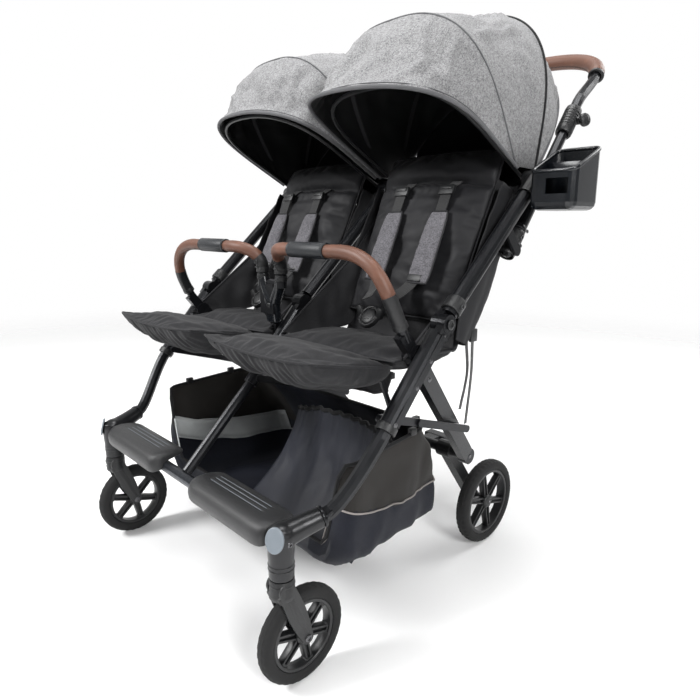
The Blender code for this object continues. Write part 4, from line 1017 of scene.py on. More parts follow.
def seat_pad(tag, side):
    """Seat cushion over the pan, from the leg rest's hinge to the crease."""
    front_y, rear_y = 0.222, 0.382
    half = 0.153

    def outline(u, v):
        y = mix(front_y, rear_y, v)
        dip = 0.01 * math.sin(math.pi * u) + 0.01 * v
        return Vector((SEAT_X + half * (2 * u - 1), y, 0.49 - dip * 0.5))

    def top(u, v):
        wrinkle = crinkle((u * 0.3, v * 0.2, 0.4), (0.05, 0.08, 1.0), 0.004, 5.0)
        free = min(1.0, 8 * u, 8 * (1 - u), 8 * v, 8 - 8 * v)
        return Vector((0.0, 0.0, dome(u, v, 0.016, 0.45) + wrinkle * free))

    def bottom(u, v):
        return Vector((0.0, 0.0, -dome(u, v, 0.024, 0.22)))

    made = pillow("seat_cushion_" + tag, outline, top, bottom,
                  ("seat", "back"), ("seat", "seat"), "back", 0.0018, 44, 26,
                  pressure=2.5, slack=0.03, frames=12, cap=0.005)
    place_on_side(made, side)
    rounded(made)
    wear(made, "front_frame", "charcoal_fabric", "seat_pan_" + tag)


def leg_rest(tag, side, word):
    """Boat-shaped leg rest: crowned top, deep pleated gusset below the seam, pointed front corners."""
    inner_x, outer_x = 0.026, 0.336
    front = Vector((0.0, 0.056, 0.515))
    rear = Vector((0.0, 0.236, 0.4765))

    def outline(u, v):
        bulge = 0.012 * (1.0 - (2 * u - 1) ** 4) * (1.0 - v)
        late = max(0.0, (v - 0.72) / 0.28)
        squeeze = 1.0 - 0.03 * v - 0.15 * (1.0 - math.sqrt(max(0.0, 1.0 - late * late)))
        middle = (inner_x + outer_x) / 2
        x = middle + (outer_x - inner_x) / 2 * (2 * u - 1) * squeeze
        point = front.lerp(rear, v)
        return Vector((x, point.y - bulge, point.z - 0.006 * math.sin(math.pi * u)))

    def top(u, v):
        edge = min(1.0, 7 * u, 7 - 7 * u, 7 * v, 7 - 7 * v)
        wrinkle = crinkle((u * 0.3, v * 0.2, 0.1), (0.1, 0.045, 1.0), 0.0045, 9.0)
        fold = -0.0055 * math.exp(-((u - 0.62 - 0.3 * v) / 0.045) ** 2) * ease(2 * v - 0.5)
        fold -= 0.0045 * math.exp(-((u - 0.8 - 0.14 * v) / 0.035) ** 2) * ease(2 * v - 0.4)
        return Vector((0.0, 0.0, dome(u, v, 0.019, 0.5) + (wrinkle + fold) * edge))

    def bottom(u, v):
        near = max(0.0, 1.0 - abs(v - 0.1) / 0.22)
        pleat = math.sin(u * 120.0 + 3.0 * math.sin(u * 9.0)) * 0.0019 * near
        slack = crinkle((u * 0.3, v * 0.25, 0.6), (0.05, 0.08, 1.0), 0.006, 3.0)
        slack = slack * min(1.0, 6 * v, 6 * u, 6 - 6 * u)
        deep = dome(u, v, 0.036 + 0.016 * v, 0.32)
        return Vector((0.0, -0.3 * pleat, -deep + pleat + slack * min(1.0, 5 - 5 * v)))

    made = pillow("leg_rest_pad_" + tag, outline, top, bottom,
                  ("seat", "back"), ("seat", "seat"), "seat", 0.0021, 72, 36,
                  pressure=3.0, slack=0.04, frames=16, cap=0.006)
    place_on_side(made, side)
    rounded(made)
    wear(made, "leg_rest_" + word, "charcoal_fabric", "leg_rest_" + tag)


def seat_sling(tag, side):
    """Cloth that joins the seat to the foot of the backrest, round the recline hinge."""
    path = smooth_path(((0, 0.372, 0.485), (0, 0.392, 0.48), (0, 0.404, 0.496), (0, 0.415, 0.542)), 18)
    rows = []
    for point in path:
        line = []
        for step in range(25):
            x = SEAT_X + 0.146 * (step / 12 - 1)
            ripple = crinkle((x, point.y, point.z), (0.04, 0.09, 0.09), 0.003, 4.0)
            line.append(mirrored((x, point.y + ripple, point.z + ripple * 0.4), side))
        rows.append(line)
    shape = Shape("back")
    shape.sheet(rows, "back")
    made = shape.piece("seat_crease_" + tag, 0.0, 80.0)
    thicken(made, 0.0016, offset=0.0)
    mirrored((SEAT_X, 0.395, 0.49), side)
    mirrored((SEAT_X, 0.415, 0.542), side)
    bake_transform(made)


# Edge of the side cloth along the upper tube, and the seat's line behind it, in the side plane
WING_EDGE = ((0.232, 0.496), (0.284, 0.535), (0.363, 0.592), (0.428, 0.642), (0.498, 0.716), (0.548, 0.776))
WING_BACK = ((0.318, 0.494), (0.392, 0.498), (0.418, 0.548), (0.452, 0.622), (0.492, 0.708), (0.53, 0.79))


def wing(tag, side, outer):
    """Side cloth of the seat, from the frame tube in to the backrest."""
    edge = smooth_path([(0.0, *point) for point in WING_EDGE], 40)
    back = smooth_path([(0.0, *point) for point in WING_BACK], 40)
    edge_x, back_x = (0.3445, 0.312) if outer else (0.0245, 0.052)
    rows = []
    for index in range(41):
        line = []
        for step in range(15):
            share = step / 14
            x = mix(edge_x, back_x, share ** 0.8)
            belly = math.sin(math.pi * share) * 0.01 * (1.0 if outer else -1.0)
            point = edge[index].lerp(back[index], share)
            fold = crinkle((x, point.y, point.z), (0.06, 0.035, 0.11), 0.007, 6.0 if outer else 8.0)
            fold *= math.sin(math.pi * share) ** 0.5 if 0 < share < 1 else 0.0
            line.append(mirrored((x + belly * 0.4 + fold, point.y + fold * 0.5, point.z - 0.006 * math.sin(
                math.pi * share)), side))
        rows.append(line)
    label = "outer" if outer else "inner"
    # The front part and the rest are made as two pieces
    for name, part in (("seat_side", rows[:13]), ("seat_wing", rows[12:])):
        shape = Shape("wing", "seat")
        shape.sheet(part, "wing")
        shape.tube([row[0] for row in part], 0.0026, "seat", 8)
        made = shape.piece("%s_%s_%s" % (name, label, tag), 0.0, 80.0)
        if name == "seat_side":
            mirrored((edge_x, 0.262, 0.52), side)
            mirrored((edge_x, 0.322, 0.562), side)
            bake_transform(made)
        else:
            mirrored((edge_x, 0.395, 0.6), side)
            mirrored((back_x, 0.44, 0.575), side)
            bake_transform(made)
        width, length, area = spread_of(part)


def back_cover(tag, side):
    """Outer cloth behind the backrest, slung between the tubes, with loose upright folds."""
    # Run up the backrest, depth behind it, and how far forward of the back the cloth starts
    stations = ((0.03, 0.036, 0.01), (0.07, 0.052, 0.02), (0.13, 0.064, 0.026), (0.2, 0.066, 0.024),
                (0.27, 0.064, 0.018), (0.336, 0.06, 0.01))
    columns = []
    for run, deep, ahead in stations:
        corners = ((0.338, ahead), (0.339, mix(ahead, -deep, 0.55)), (0.318, -deep), (0.19, -deep - 0.008),
                   (0.05, -deep), (0.024, mix(ahead, -deep, 0.55)), (0.024, ahead))
        columns.append(smooth_path([on_back(x, run, lift) for x, lift in corners], 56))
    rows = []
    for line in zip(*columns):
        path = []
        for point in smooth_path(line, 36):
            fold = crinkle(point, (0.028, 0.04, 0.2), 0.0045, 1.0)
            fold += crinkle(point, (0.09, 0.09, 0.13), 0.006, 1.7)
            path.append(mirrored((point.x, point.y + fold, point.z), side))
        rows.append(path)
    shape = Shape("wing")
    shape.sheet(rows, "wing")
    made = shape.piece("back_cover_" + tag, 0.0, 80.0)
    thicken(made, 0.0014, offset=0.0)
    edge = FOLD + UPPER_RUN * 0.16 + Vector((SEAT_X, 0.0, 0.0))
    mirrored(edge + UPPER_REAR * 0.02, side)
    mirrored(edge + UPPER_REAR * 0.085, side)
    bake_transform(made)
    width, length, area = spread_of(rows)


def seat_flap(tag, side):
    """Loose cloth under the seat's front edge, between the leg rest and the links."""
    rows = []
    for step in range(45):
        u = step / 44
        x = mix(0.04, 0.322, u)
        line = []
        for index in range(13):
            v = index / 12
            fold = crinkle((x, 0.0, v * 0.05), (0.03, 1.0, 0.08), 0.007, 2.2)
            drop = 0.034 + 0.01 * math.sin(math.pi * u) + crinkle((x, 0.3, 0.0), (0.05, 1.0, 1.0), 0.006, 8.8)
            line.append(mirrored((x, 0.232 - 0.012 * v + fold * v, 0.47 - drop * v), side))
        rows.append(line)
    shape = Shape("wing", "back")
    shape.sheet(rows, "wing")
    shape.tube([line[-1] for line in rows], 0.0018, "back", 6)
    made = shape.piece("seat_flap_" + tag, 0.0, 80.0)
    thicken(made, 0.0012, offset=0.0)
    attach(made, "front_frame")
    width, length, area = spread_of(rows)


def back_straps(tag, side):
    """Adjusting straps that hang behind the backrest on the outer side."""
    shape = Shape("webbing", "plastic")
    for x, foot_z, bow in ((0.336, 0.335, 0.006), (0.322, 0.36, 0.013)):
        path = smooth_path(((x, 0.446, 0.56), (x, 0.436, 0.5), (x, 0.43 + bow, 0.43), (x, 0.424, foot_z)), 24)
        strap(shape, [mirrored(point, side) for point in path], 0.011, 0.0014, "webbing", (side, 0.25, 0.0))
    shape.block(mirrored((0.336, 0.437, 0.505), side), (0.006, 0.02, 0.024), "plastic", None, 0.002)
    made = shape.piece("back_straps_" + tag)
    wear(made, "upper_frame", "black_fabric")


# Harness

def strap(shape, points, width, thickness, look, up):
    """Flat webbing along points: up is the direction of its face."""
    points = [Vector(point) for point in points]
    rows = []
    for index, point in enumerate(points):
        run = run_at(points, index)
        across = run.cross(Vector(up)).normalized()
        face = across.cross(run)
        rows.append([point + across * (width / 2 * a) + face * (thickness / 2 * b)
                     for a, b in ((-1, -1), (-1, 1), (-0.33, 1.15), (0.33, 1.15), (1, 1), (1, -1))])
    shape.ends(shape.sheet(rows, look, True), look)


def harness(tag, side, word):
    """Shoulder pads on their webbing, with adjusters. Waist and crotch straps aren't made."""
    straps = Shape("webbing", "plastic")
    for index, (pad_x, low_x) in enumerate(((0.132, 0.16), (0.245, 0.206))):
        top_run, pad_top, pad_low, foot = 0.334, 0.266, 0.118, 0.066
        line = [on_back(pad_x, top_run, 0.022), on_back(pad_x, 0.305, 0.043), on_back(pad_x, pad_top, 0.046),
                on_back(pad_x - 0.001, pad_low + 0.03, 0.049), on_back(mix(pad_x, low_x, 0.5), 0.098, 0.056),
                on_back(low_x, foot, 0.08)]
        line = [mirrored(point, side) for point in smooth_path(line, 40)]
        strap(straps, line, 0.024, 0.0018, "webbing", BACK_FRONT)
        buckle = line[8]
        turn = Matrix.Rotation(BACK_LEAN, 3, "X")
        straps.block(buckle + BACK_FRONT * 0.003, (0.034, 0.02, 0.008), "plastic", turn, 0.002)
        straps.block(buckle + BACK_FRONT * 0.007 + BACK_RUN * 0.003, (0.026, 0.007, 0.004), "plastic", turn,
                     0.001)
        straps.block(line[27] + BACK_FRONT * 0.002, (0.032, 0.014, 0.007), "plastic", turn, 0.002)

        def outline(u, v):
            run = mix(pad_low - 0.004, pad_top - 0.006, v)
            half = mix(0.0262, 0.0222, v) - 0.004 * abs(2 * v - 1) ** 6
            return on_back(pad_x + half * (2 * u - 1), run, mix(0.052, 0.048, v))

        def top(u, v):
            pinch = crinkle((u * 0.05, v * 0.15, index * 1.7), (0.03, 0.022, 1.0), 0.003, 4.1)
            return BACK_FRONT * (dome(u, v, 0.01, 0.5) + pinch * min(1.0, 5 * u, 5 - 5 * u, 5 * v, 5 - 5 * v))

        def bottom(u, v):
            return BACK_FRONT * -dome(u, v, 0.004, 0.4)

        pad = pillow("shoulder_pad_%s_%d" % (tag, index), outline, top, bottom, ("pads", "back"),
                     ("pads", "back"), "back", 0.0019, 18, 36, pressure=2.0, slack=0.02, frames=8, cap=0.002)
        place_on_side(pad, side)
        rounded(pad)
        wear(pad, "backrest_" + word, "heather_fabric")
    made = straps.piece("harness_straps_" + tag)
    wear(made, "backrest_" + word, "black_fabric", "harness_" + tag)


def buckle(tag, side, word):
    """Round buckle with a silver lower rim and a half-moon button."""
    facing = Vector((0.0, -0.8, 0.6))
    centre = mirrored((SEAT_X, BUTTON.y, BUTTON.z), side)
    shape = Shape("plastic", "steel", "webbing")
    shape.lathe(((0.0, -0.0075), (0.02, -0.0075), (0.0228, -0.0055), (0.0236, -0.001), (0.0226, 0.0022),
                 (0.0206, 0.0034), (0.0186, 0.003), (0.0178, 0.0008), (0.0, 0.0008)),
                centre, facing, "plastic", 44)
    down = facing.cross(Vector((1.0, 0.0, 0.0)))
    down = down if down.z < 0 else -down
    rim_line = []
    for step in range(25):
        turn = math.pi * (0.08 + 0.84 * step / 24)
        rim_line.append(centre + Vector((math.cos(turn), 0, 0)) * 0.0212 + down * math.sin(turn) * 0.0212
                        + facing * 0.0036)
    shape.tube(rim_line, 0.0011, "steel", 8)
    for hand in (-1.0, 1.0):
        shape.block(centre + Vector((0.0255 * hand, 0.004, 0.008)), (0.013, 0.012, 0.022), "plastic",
                    Matrix.Rotation(0.35 * hand, 3, "Y"), 0.003)
    wear(shape.piece("buckle_body_" + tag, 0.0), "front_frame", "plastic_black", "buckle_" + tag)

    press = Shape("plastic", "steel")
    press.lathe(((0.0, 0.005), (0.008, 0.0048), (0.014, 0.0038), (0.0166, 0.002), (0.0172, 0.0004),
                 (0.0172, -0.0005)), centre, facing, "plastic", 40)
    moon = []
    for step in range(17):
        turn = math.pi * (0.12 + 0.76 * step / 16)
        moon.append(centre + Vector((math.cos(turn), 0, 0)) * 0.0098
                    + down * (math.sin(turn) * 0.0098 - 0.0015) + facing * 0.0046)
    press.tube(moon, 0.0005, "steel", 6)
    wear(press.piece("buckle_press_" + tag, 0.0), "button_" + word, "plastic_grey", "buckle_button_" + tag)


# Basket

BASKET_RINGS = (
    (0.132, 0.352, 0.312, 0.303, 0.326, 0.34),
    (0.128, 0.402, 0.313, 0.292, 0.255, 0.276),
    (0.126, 0.446, 0.312, 0.276, 0.19, 0.2),
    (0.15, 0.456, 0.294, 0.262, 0.138, 0.118),
    (0.215, 0.42, 0.24, 0.21, 0.112, 0.102),
)


def basket_ring(front, rear, front_half, rear_half, z_front, z_rear, steps=8):
    """Closed ring of points with rounded corners."""
    ring = []
    radius = 0.03
    corners = ((front_half, front, 1.0, -1.0), (rear_half, rear, 1.0, 1.0),
               (-rear_half, rear, -1.0, 1.0), (-front_half, front, -1.0, -1.0))
    knots = []
    for number, (x, y, x_sign, y_sign) in enumerate(corners):
        for step in range(steps // 2 + 1):
            turn = math.pi / steps * step
            if number % 2:
                turn = math.pi / 2 - turn
            knots.append((x - x_sign * radius * (1.0 - math.sin(turn)),
                          y - y_sign * radius * (1.0 - math.cos(turn))))
    for (x1, y1), (x2, y2) in zip(knots, knots[1:] + knots[:1]):
        length = math.hypot(x2 - x1, y2 - y1)
        pieces = max(1, round(length / 0.016))
        for index in range(pieces):
            x, y = mix(x1, x2, index / pieces), mix(y1, y2, index / pieces)
            share = (y - front) / (rear - front)
            ring.append(Vector((x, y, mix(z_front, z_rear, share))))
    return ring


def side_line(knots, y):
    """Height of a line on the basket's side at y, through knots of (y, z)."""
    for (y1, z1), (y2, z2) in zip(knots, knots[1:]):
        if y <= y2:
            break
    share = min(max((y - y1) / (y2 - y1), 0.0), 1.0)
    return mix(z1, z2, share)


def at_height(column, z):
    """Point of a falling column at that height."""
    for high, low in zip(column, column[1:]):
        if low.z <= z:
            break
    share = min(max((high.z - z) / max(high.z - low.z, 1e-6), 0.0), 1.0)
    return high.lerp(low, share)


SEAM_LINE = ((0.124, 0.252), (0.2, 0.222), (0.277, 0.207), (0.37, 0.198), (0.464, 0.186))
BAND_LINE = ((0.132, 0.208), (0.2, 0.18), (0.276, 0.164), (0.416, 0.158))


def basket():
    """Hung tub with a low front, seamed sides, and a gathered pocket under the near seat."""
    rings = [basket_ring(*numbers) for numbers in BASKET_RINGS]
    count = len(rings[0])
    rings = [[ring[round(index * len(ring) / count) % len(ring)] for index in range(count)] for ring in rings]
    floor_z = BASKET_RINGS[-1][4]
    for ring in rings[:-1]:
        for point in ring:
            # The front wall hangs low between the legs, so that the basket can be reached from there
            low = ease((0.245 - point.y) / 0.095) * ease((0.305 - abs(point.x)) / 0.05)
            point.z = floor_z + (point.z - floor_z) * (1.0 - 0.74 * low)
    columns = [smooth_path([ring[index] for ring in rings], 34) for index in range(count)]
    for column in columns:
        for number, point in enumerate(column):
            slack = math.sin(math.pi * number / 34) * 0.01
            pull = abs(crinkle((point.x, point.y, 0.3), (0.035, 0.03, 1.0), 0.006, 4.4))
            pull = pull * max(0.0, 1 - number / 14)
            fold = crinkle(point, (0.075, 0.06, 0.17), 0.0095, 2.5)
            outward = Vector((point.x, point.y - 0.29, 0.0)).normalized()
            column[number] = point + outward * (fold - slack * 0.4 - pull) * min(1.0, number / 4)
            column[number].z -= 0.01 * max(0.0, number / 34 - 0.7)
    rows = [[column[row] for column in columns] for row in range(35)]
    shape = Shape("basket", "basket_low", "basket_mesh")
    made = shape.sheet(rows, "basket", True)
    shape.lid(made[-1], "basket")
    for face in shape.bm.faces:
        middle = face.calc_center_median()
        if abs(middle.x) > 0.215 and middle.y > 0.128:
            low = middle.z < side_line(SEAM_LINE, middle.y)
            face.material_index = shape.slot("basket_low" if low else "basket_mesh")
    tub = shape.piece("basket_tub", 0.0, 80.0)
    thicken(tub, 0.0016, offset=-1.0)
    pieces = [tub]

    trim = Shape("piping", "cord", "basket", "plastic")
    trim.tube(rows[0] + rows[0][:1], 0.0034, "piping", 8, caps=False)
    for side in (1.0, -1.0):
        wall = [column for column in columns if column[12].x * side > 0.235 and 0.126 < column[12].y < 0.462]
        wall.sort(key=lambda column: column[12].y)
        seam = [at_height(column, side_line(SEAM_LINE, column[12].y)) for column in wall]
        seam = smooth_path([point + Vector((0.0016 * side, 0.0, 0.0)) for point in seam], 60)
        trim.tube(seam, 0.0017, "cord", 8)
        for y in (0.2, 0.3, 0.4):
            column = min(wall, key=lambda one: abs(one[0].y - y))
            trim.block(column[0] + Vector((0.0, 0.0, 0.004)), (0.01, 0.016, 0.014), "plastic", None, 0.002)
    edging = trim.piece("basket_trim")
    pieces.append(edging)

    band = []
    wall = [column for column in columns if column[12].x < -0.235 and 0.13 < column[12].y < 0.43]
    wall.sort(key=lambda column: column[12].y)
    for step in range(5):
        line = []
        for column in wall:
            foot = side_line(BAND_LINE, column[12].y)
            point = at_height(column, foot + 0.054 * step / 4)
            line.append(point + Vector((0.0052, 0.0, 0.0)))
        band.append(smooth_path(line, 60))
    strip = Shape("band")
    strip.sheet(band, "band")
    for line in (band[0], band[-1]):
        strip.tube([point + Vector((0.0004, 0.0, 0.0)) for point in line], 0.0011, "band", 6)
    silver = strip.piece("basket_band", 0.0, 80.0)
    thicken(silver, 0.001, offset=0.0)
    pieces.append(silver)

    # Gathered nylon pocket that hangs from an elastic edge behind the centre leg
    pocket = []
    for row in range(31):
        v = row / 30
        line = []
        for step in range(61):
            u = step / 60
            x = mix(0.004, 0.288, u) - 0.05 * v * (1.0 - u) ** 2
            y = mix(0.282, 0.168, v ** 1.15) + 0.016 * math.sin(math.pi * v)
            z = mix(0.338 - 0.02 * (2 * u - 1) ** 2, 0.128, v) - 0.01 * math.sin(math.pi * v)
            gather = math.sin(u * 74.0 + 2.5 * math.sin(u * 8.0)) * 0.0028 * max(0.0, 1.0 - v * 3.2)
            fold = crinkle((x, y, z), (0.05, 0.1, 0.16), 0.012, 6.3) * math.sin(math.pi * min(1.0, v + 0.12))
            line.append(Vector((x, y + (gather + fold) * 0.8, z + (gather + fold) * 0.5)))
        pocket.append(line)
    pouch = Shape("basket", "piping")
    pouch.sheet(pocket, "basket")
    hem = [point + Vector((0.0, 0.0, 0.001)) for point in pocket[0]]
    pouch.tube(hem, 0.0036, "piping", 8)
    cloth = pouch.piece("basket_pocket", 0.0, 80.0)
    thicken(cloth, 0.0012, offset=0.0)
    pieces.append(cloth)

    for made in pieces:
        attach(made, "front_frame")
        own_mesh(made)
    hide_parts("basket")
    width, length, area = spread_of(pocket)
    width, length, area = spread_of(band)


# Wheels

def tyre(shape, centre, radius, seat, half, look, nubs, cut):
    """Tyre with rounded walls and a tread of nubs between shallow cuts."""
    crown = radius - 0.0006
    walls = ((seat, 0.8, 0), (seat + 0.002, 0.93, 0), (mix(seat, radius, 0.35), 1.0, 0),
             (mix(seat, radius, 0.62), 0.98, 0), (radius - 0.0052, 0.88, 0), (radius - 0.003, 0.78, 1),
             (crown - 0.0006, 0.56, 2), (crown, 0.34, 2), (crown, 0.3, 0), (crown + 0.0004, 0.26, 0))
    profile = list(walls) + [(r, -h, kind) for r, h, kind in reversed(walls)]
    rows = []
    steps = nubs * 4
    for step in range(steps):
        angle = 2 * math.pi * step / steps
        row = []
        for r, h, kind in profile:
            shift = step + (2 if h < 0 else 0)
            low = cut * (0.5 if kind == 1 else 1.0) if kind and shift % 4 in (0, 1) else 0.0
            row.append(centre + Vector((half * h, (r - low) * math.cos(angle), (r - low) * math.sin(angle))))
        rows.append(row)
    shape.sheet(rows + [rows[0]], look, True)


def rim(shape, centre, rim_radius, half, look):
    """Moulded rim: lipped ring, six pairs of spokes and a stepped hub."""
    ring = half - 0.003
    profile = ((rim_radius - 0.006, ring - 0.0012), (rim_radius - 0.0048, ring), (rim_radius - 0.0008, ring),
               (rim_radius, ring - 0.0008), (rim_radius, 0.0008 - ring), (rim_radius - 0.0008, -ring),
               (rim_radius - 0.0048, -ring), (rim_radius - 0.006, 0.0012 - ring), (rim_radius - 0.0068, 0.0))
    shape.lathe(profile, centre, (1, 0, 0), look, 64, True)
    hub = half - 0.0005
    boss = ((0.0, hub), (0.0052, hub), (0.006, hub - 0.0008), (0.0098, hub - 0.001), (0.0128, hub - 0.0022),
            (0.015, hub - 0.0052), (0.015, 0.0052 - hub), (0.0128, 0.0022 - hub), (0.0098, 0.001 - hub),
            (0.006, 0.0008 - hub), (0.0052, -hub), (0.0, -hub))
    shape.lathe(boss, centre, (1, 0, 0), look, 36)
    length = rim_radius - 0.0045 - 0.0125
    for pair in range(6):
        turn = Matrix.Rotation(math.radians(60 * pair + 12), 3, "X")
        for hand in (-1.0, 1.0):
            root = turn @ Vector((0.0, hand * 0.0046, 0.0125 + length / 2))
            lean = turn @ Matrix.Rotation(hand * math.radians(1.6), 3, "X")
            shape.block(centre + root, (half * 1.02, 0.004, length), look, lean, 0.0011, 2)
        web = turn @ Vector((0.0, 0.0, 0.0125 + length / 2))
        shape.block(centre + web, (half * 0.36, 0.0078, length), look, turn, 0.0)
        foot = turn @ Vector((0.0, 0.0, rim_radius - 0.0078))
        shape.block(centre + foot, (half * 1.1, 0.015, 0.004), look, turn, 0.0012, 2)


def wheels():
    for tag, side, word in SIDES:
        for front, hub, radius, seat, half, body, nubs in (
                (True, FRONT_HUB, 0.08, 0.059, 0.013, "front_wheel_" + word, 34),
                (False, REAR_HUB, 0.095, 0.0735, 0.014, "rear_wheel_" + word, 44)):
            centre = mirrored(hub, side)
            label = "front" if front else "rear"
            turned = Shape("rubber")
            tyre(turned, centre, radius, seat + 0.0002, half, "rubber", nubs, 0.001 if front else 0.0014)
            wear(turned.piece("%s_tyre_worn_%s" % (label, tag), 0.00002, 34.0), body, "tread_rubber",
                 "%s_tyre_%s" % (label, tag))
            moulded = Shape("rim", "steel")
            rim(moulded, centre, seat, half, "rim")
            out = side * (half - 0.0004)
            cap = ((0.0, 0.0012), (0.0026, 0.001), (0.0034, 0.0), (0.0034, -0.001))
            moulded.lathe(cap, centre + Vector((out, 0, 0)), (side, 0, 0), "steel", 20)
            wear(moulded.piece("%s_rim_moulded_%s" % (label, tag), 0.0), body, "plastic_black",
                 "%s_rim_%s" % (label, tag))


def slab(shape, outline, x_low, x_high, look, edge=0.001):
    """Flat outline in the side plane with eased rims, given thickness along X."""
    middle = sum((Vector((0.0, *point)) for point in outline), Vector()) / len(outline)
    rows = []
    for x, inset in ((x_low, edge), (x_low + edge * 0.4, edge * 0.3), (x_low + edge, 0.0),
                     (x_high - edge, 0.0), (x_high - edge * 0.4, edge * 0.3), (x_high, edge)):
        row = []
        for point in outline:
            place = Vector((0.0, *point))
            inward = (middle - place).normalized() * inset
            row.append(place + inward + Vector((x, 0.0, 0.0)))
        rows.append(row)
    shape.ends(shape.sheet(rows, look, True), look)


def leaf(start, end, wide_start, wide_middle, wide_end, steps=9):
    """Outline of a plate with round ends, fuller in its middle."""
    start, end = Vector(start), Vector(end)
    run = (end - start).normalized()
    normal = Vector((-run.y, run.x))
    right, left = [], []
    for index in range(steps + 1):
        share = index / steps
        fuller = (wide_middle - (wide_start + wide_end) / 2) / 2 * math.sin(math.pi * share)
        half = mix(wide_start, wide_end, share) / 2 + fuller
        centre = start.lerp(end, share)
        right.append(centre - normal * half)
        left.append(centre + normal * half)
    tip = [end + (run * math.sin(turn) - normal * math.cos(turn)) * wide_end / 2
           for turn in (math.pi * step / 10 for step in range(1, 10))]
    heel = [start + (-run * math.sin(turn) + normal * math.cos(turn)) * wide_start / 2
            for turn in (math.pi * step / 10 for step in range(1, 10))]
    return [tuple(point) for point in right + tip + left[::-1] + heel]


def bolt(shape, centre, axis, radius, look, height=0.0018, socket=True):
    """Round-headed fastener with a shallow socket."""
    axis = Vector(axis).normalized()
    head = [(radius, 0.0), (radius, height * 0.45), (radius * 0.86, height * 0.85), (radius * 0.55, height)]
    if socket:
        head += [(radius * 0.46, height), (radius * 0.42, height * 0.45), (0.0, height * 0.4)]
    else:
        head += [(0.0, height * 1.06)]
    shape.lathe(head, centre, axis, look, 20)


def caster_forks():
    for tag, side, word in SIDES:
        x = CASTER.x * side
        shape = Shape("plastic", "steel", "plate")
        head = ((0.0, 0.0315), (0.0188, 0.0315), (0.0195, 0.0305), (0.0195, 0.009), (0.0205, 0.007),
                (0.0205, 0.001), (0.0192, -0.0012), (0.0, -0.0022))
        shape.lathe(head, (x, 0.0, 0.164), (0, 0, 1), "plastic", 44)
        shape.lathe(((0.0199, 0.0008), (0.0203, 0.0), (0.0199, -0.0008), (0.019, 0.0)), (x, 0.0, 0.1865),
                    (0, 0, 1), "plate", 44, True)
        for hand in (-1.0, 1.0):
            plate_x = x + hand * 0.01605
            outline = leaf((-0.003, 0.18), (0.034, 0.08), 0.028, 0.033, 0.021)
            slab(shape, outline, plate_x - 0.00225, plate_x + 0.00225, "plastic", 0.0011)
            rib = leaf((0.001, 0.166), (0.0315, 0.093), 0.01, 0.012, 0.006)
            rib_x = plate_x + hand * 0.0015
            slab(shape, rib, rib_x - 0.0012, rib_x + 0.0012, "plastic", 0.0008)
            bolt(shape, (plate_x + hand * 0.00225, 0.034, 0.08), (hand, 0, 0), 0.0064, "steel", 0.0022)
        bridge = Matrix.Rotation(math.radians(20), 3, "X")
        shape.block((x, -0.002, 0.17), (0.0365, 0.03, 0.014), "plastic", bridge, 0.004, 3)
        wear(shape.piece("caster_fork_moulded_" + tag, 0.0), "caster_" + word, "plastic_black",
             "caster_fork_" + tag)


# Corner castings and footrests

# Axis of the front cross tube in the side plane
CROSS_LINE = (0.008, 0.246)


def ellipsoid(shape, centre, size, look, turn=None, rings=12, steps=20):
    rows = []
    for ring in range(1, rings):
        polar = math.pi * ring / rings
        row = []
        for angle in circle(steps):
            place = Vector((math.sin(polar) * math.cos(angle) * size[0],
                            math.sin(polar) * math.sin(angle) * size[1], math.cos(polar) * size[2]))
            row.append(Vector(centre) + (turn @ place if turn is not None else place))
        rows.append(row)
    shape.ends(shape.sheet(rows, look, True), look)


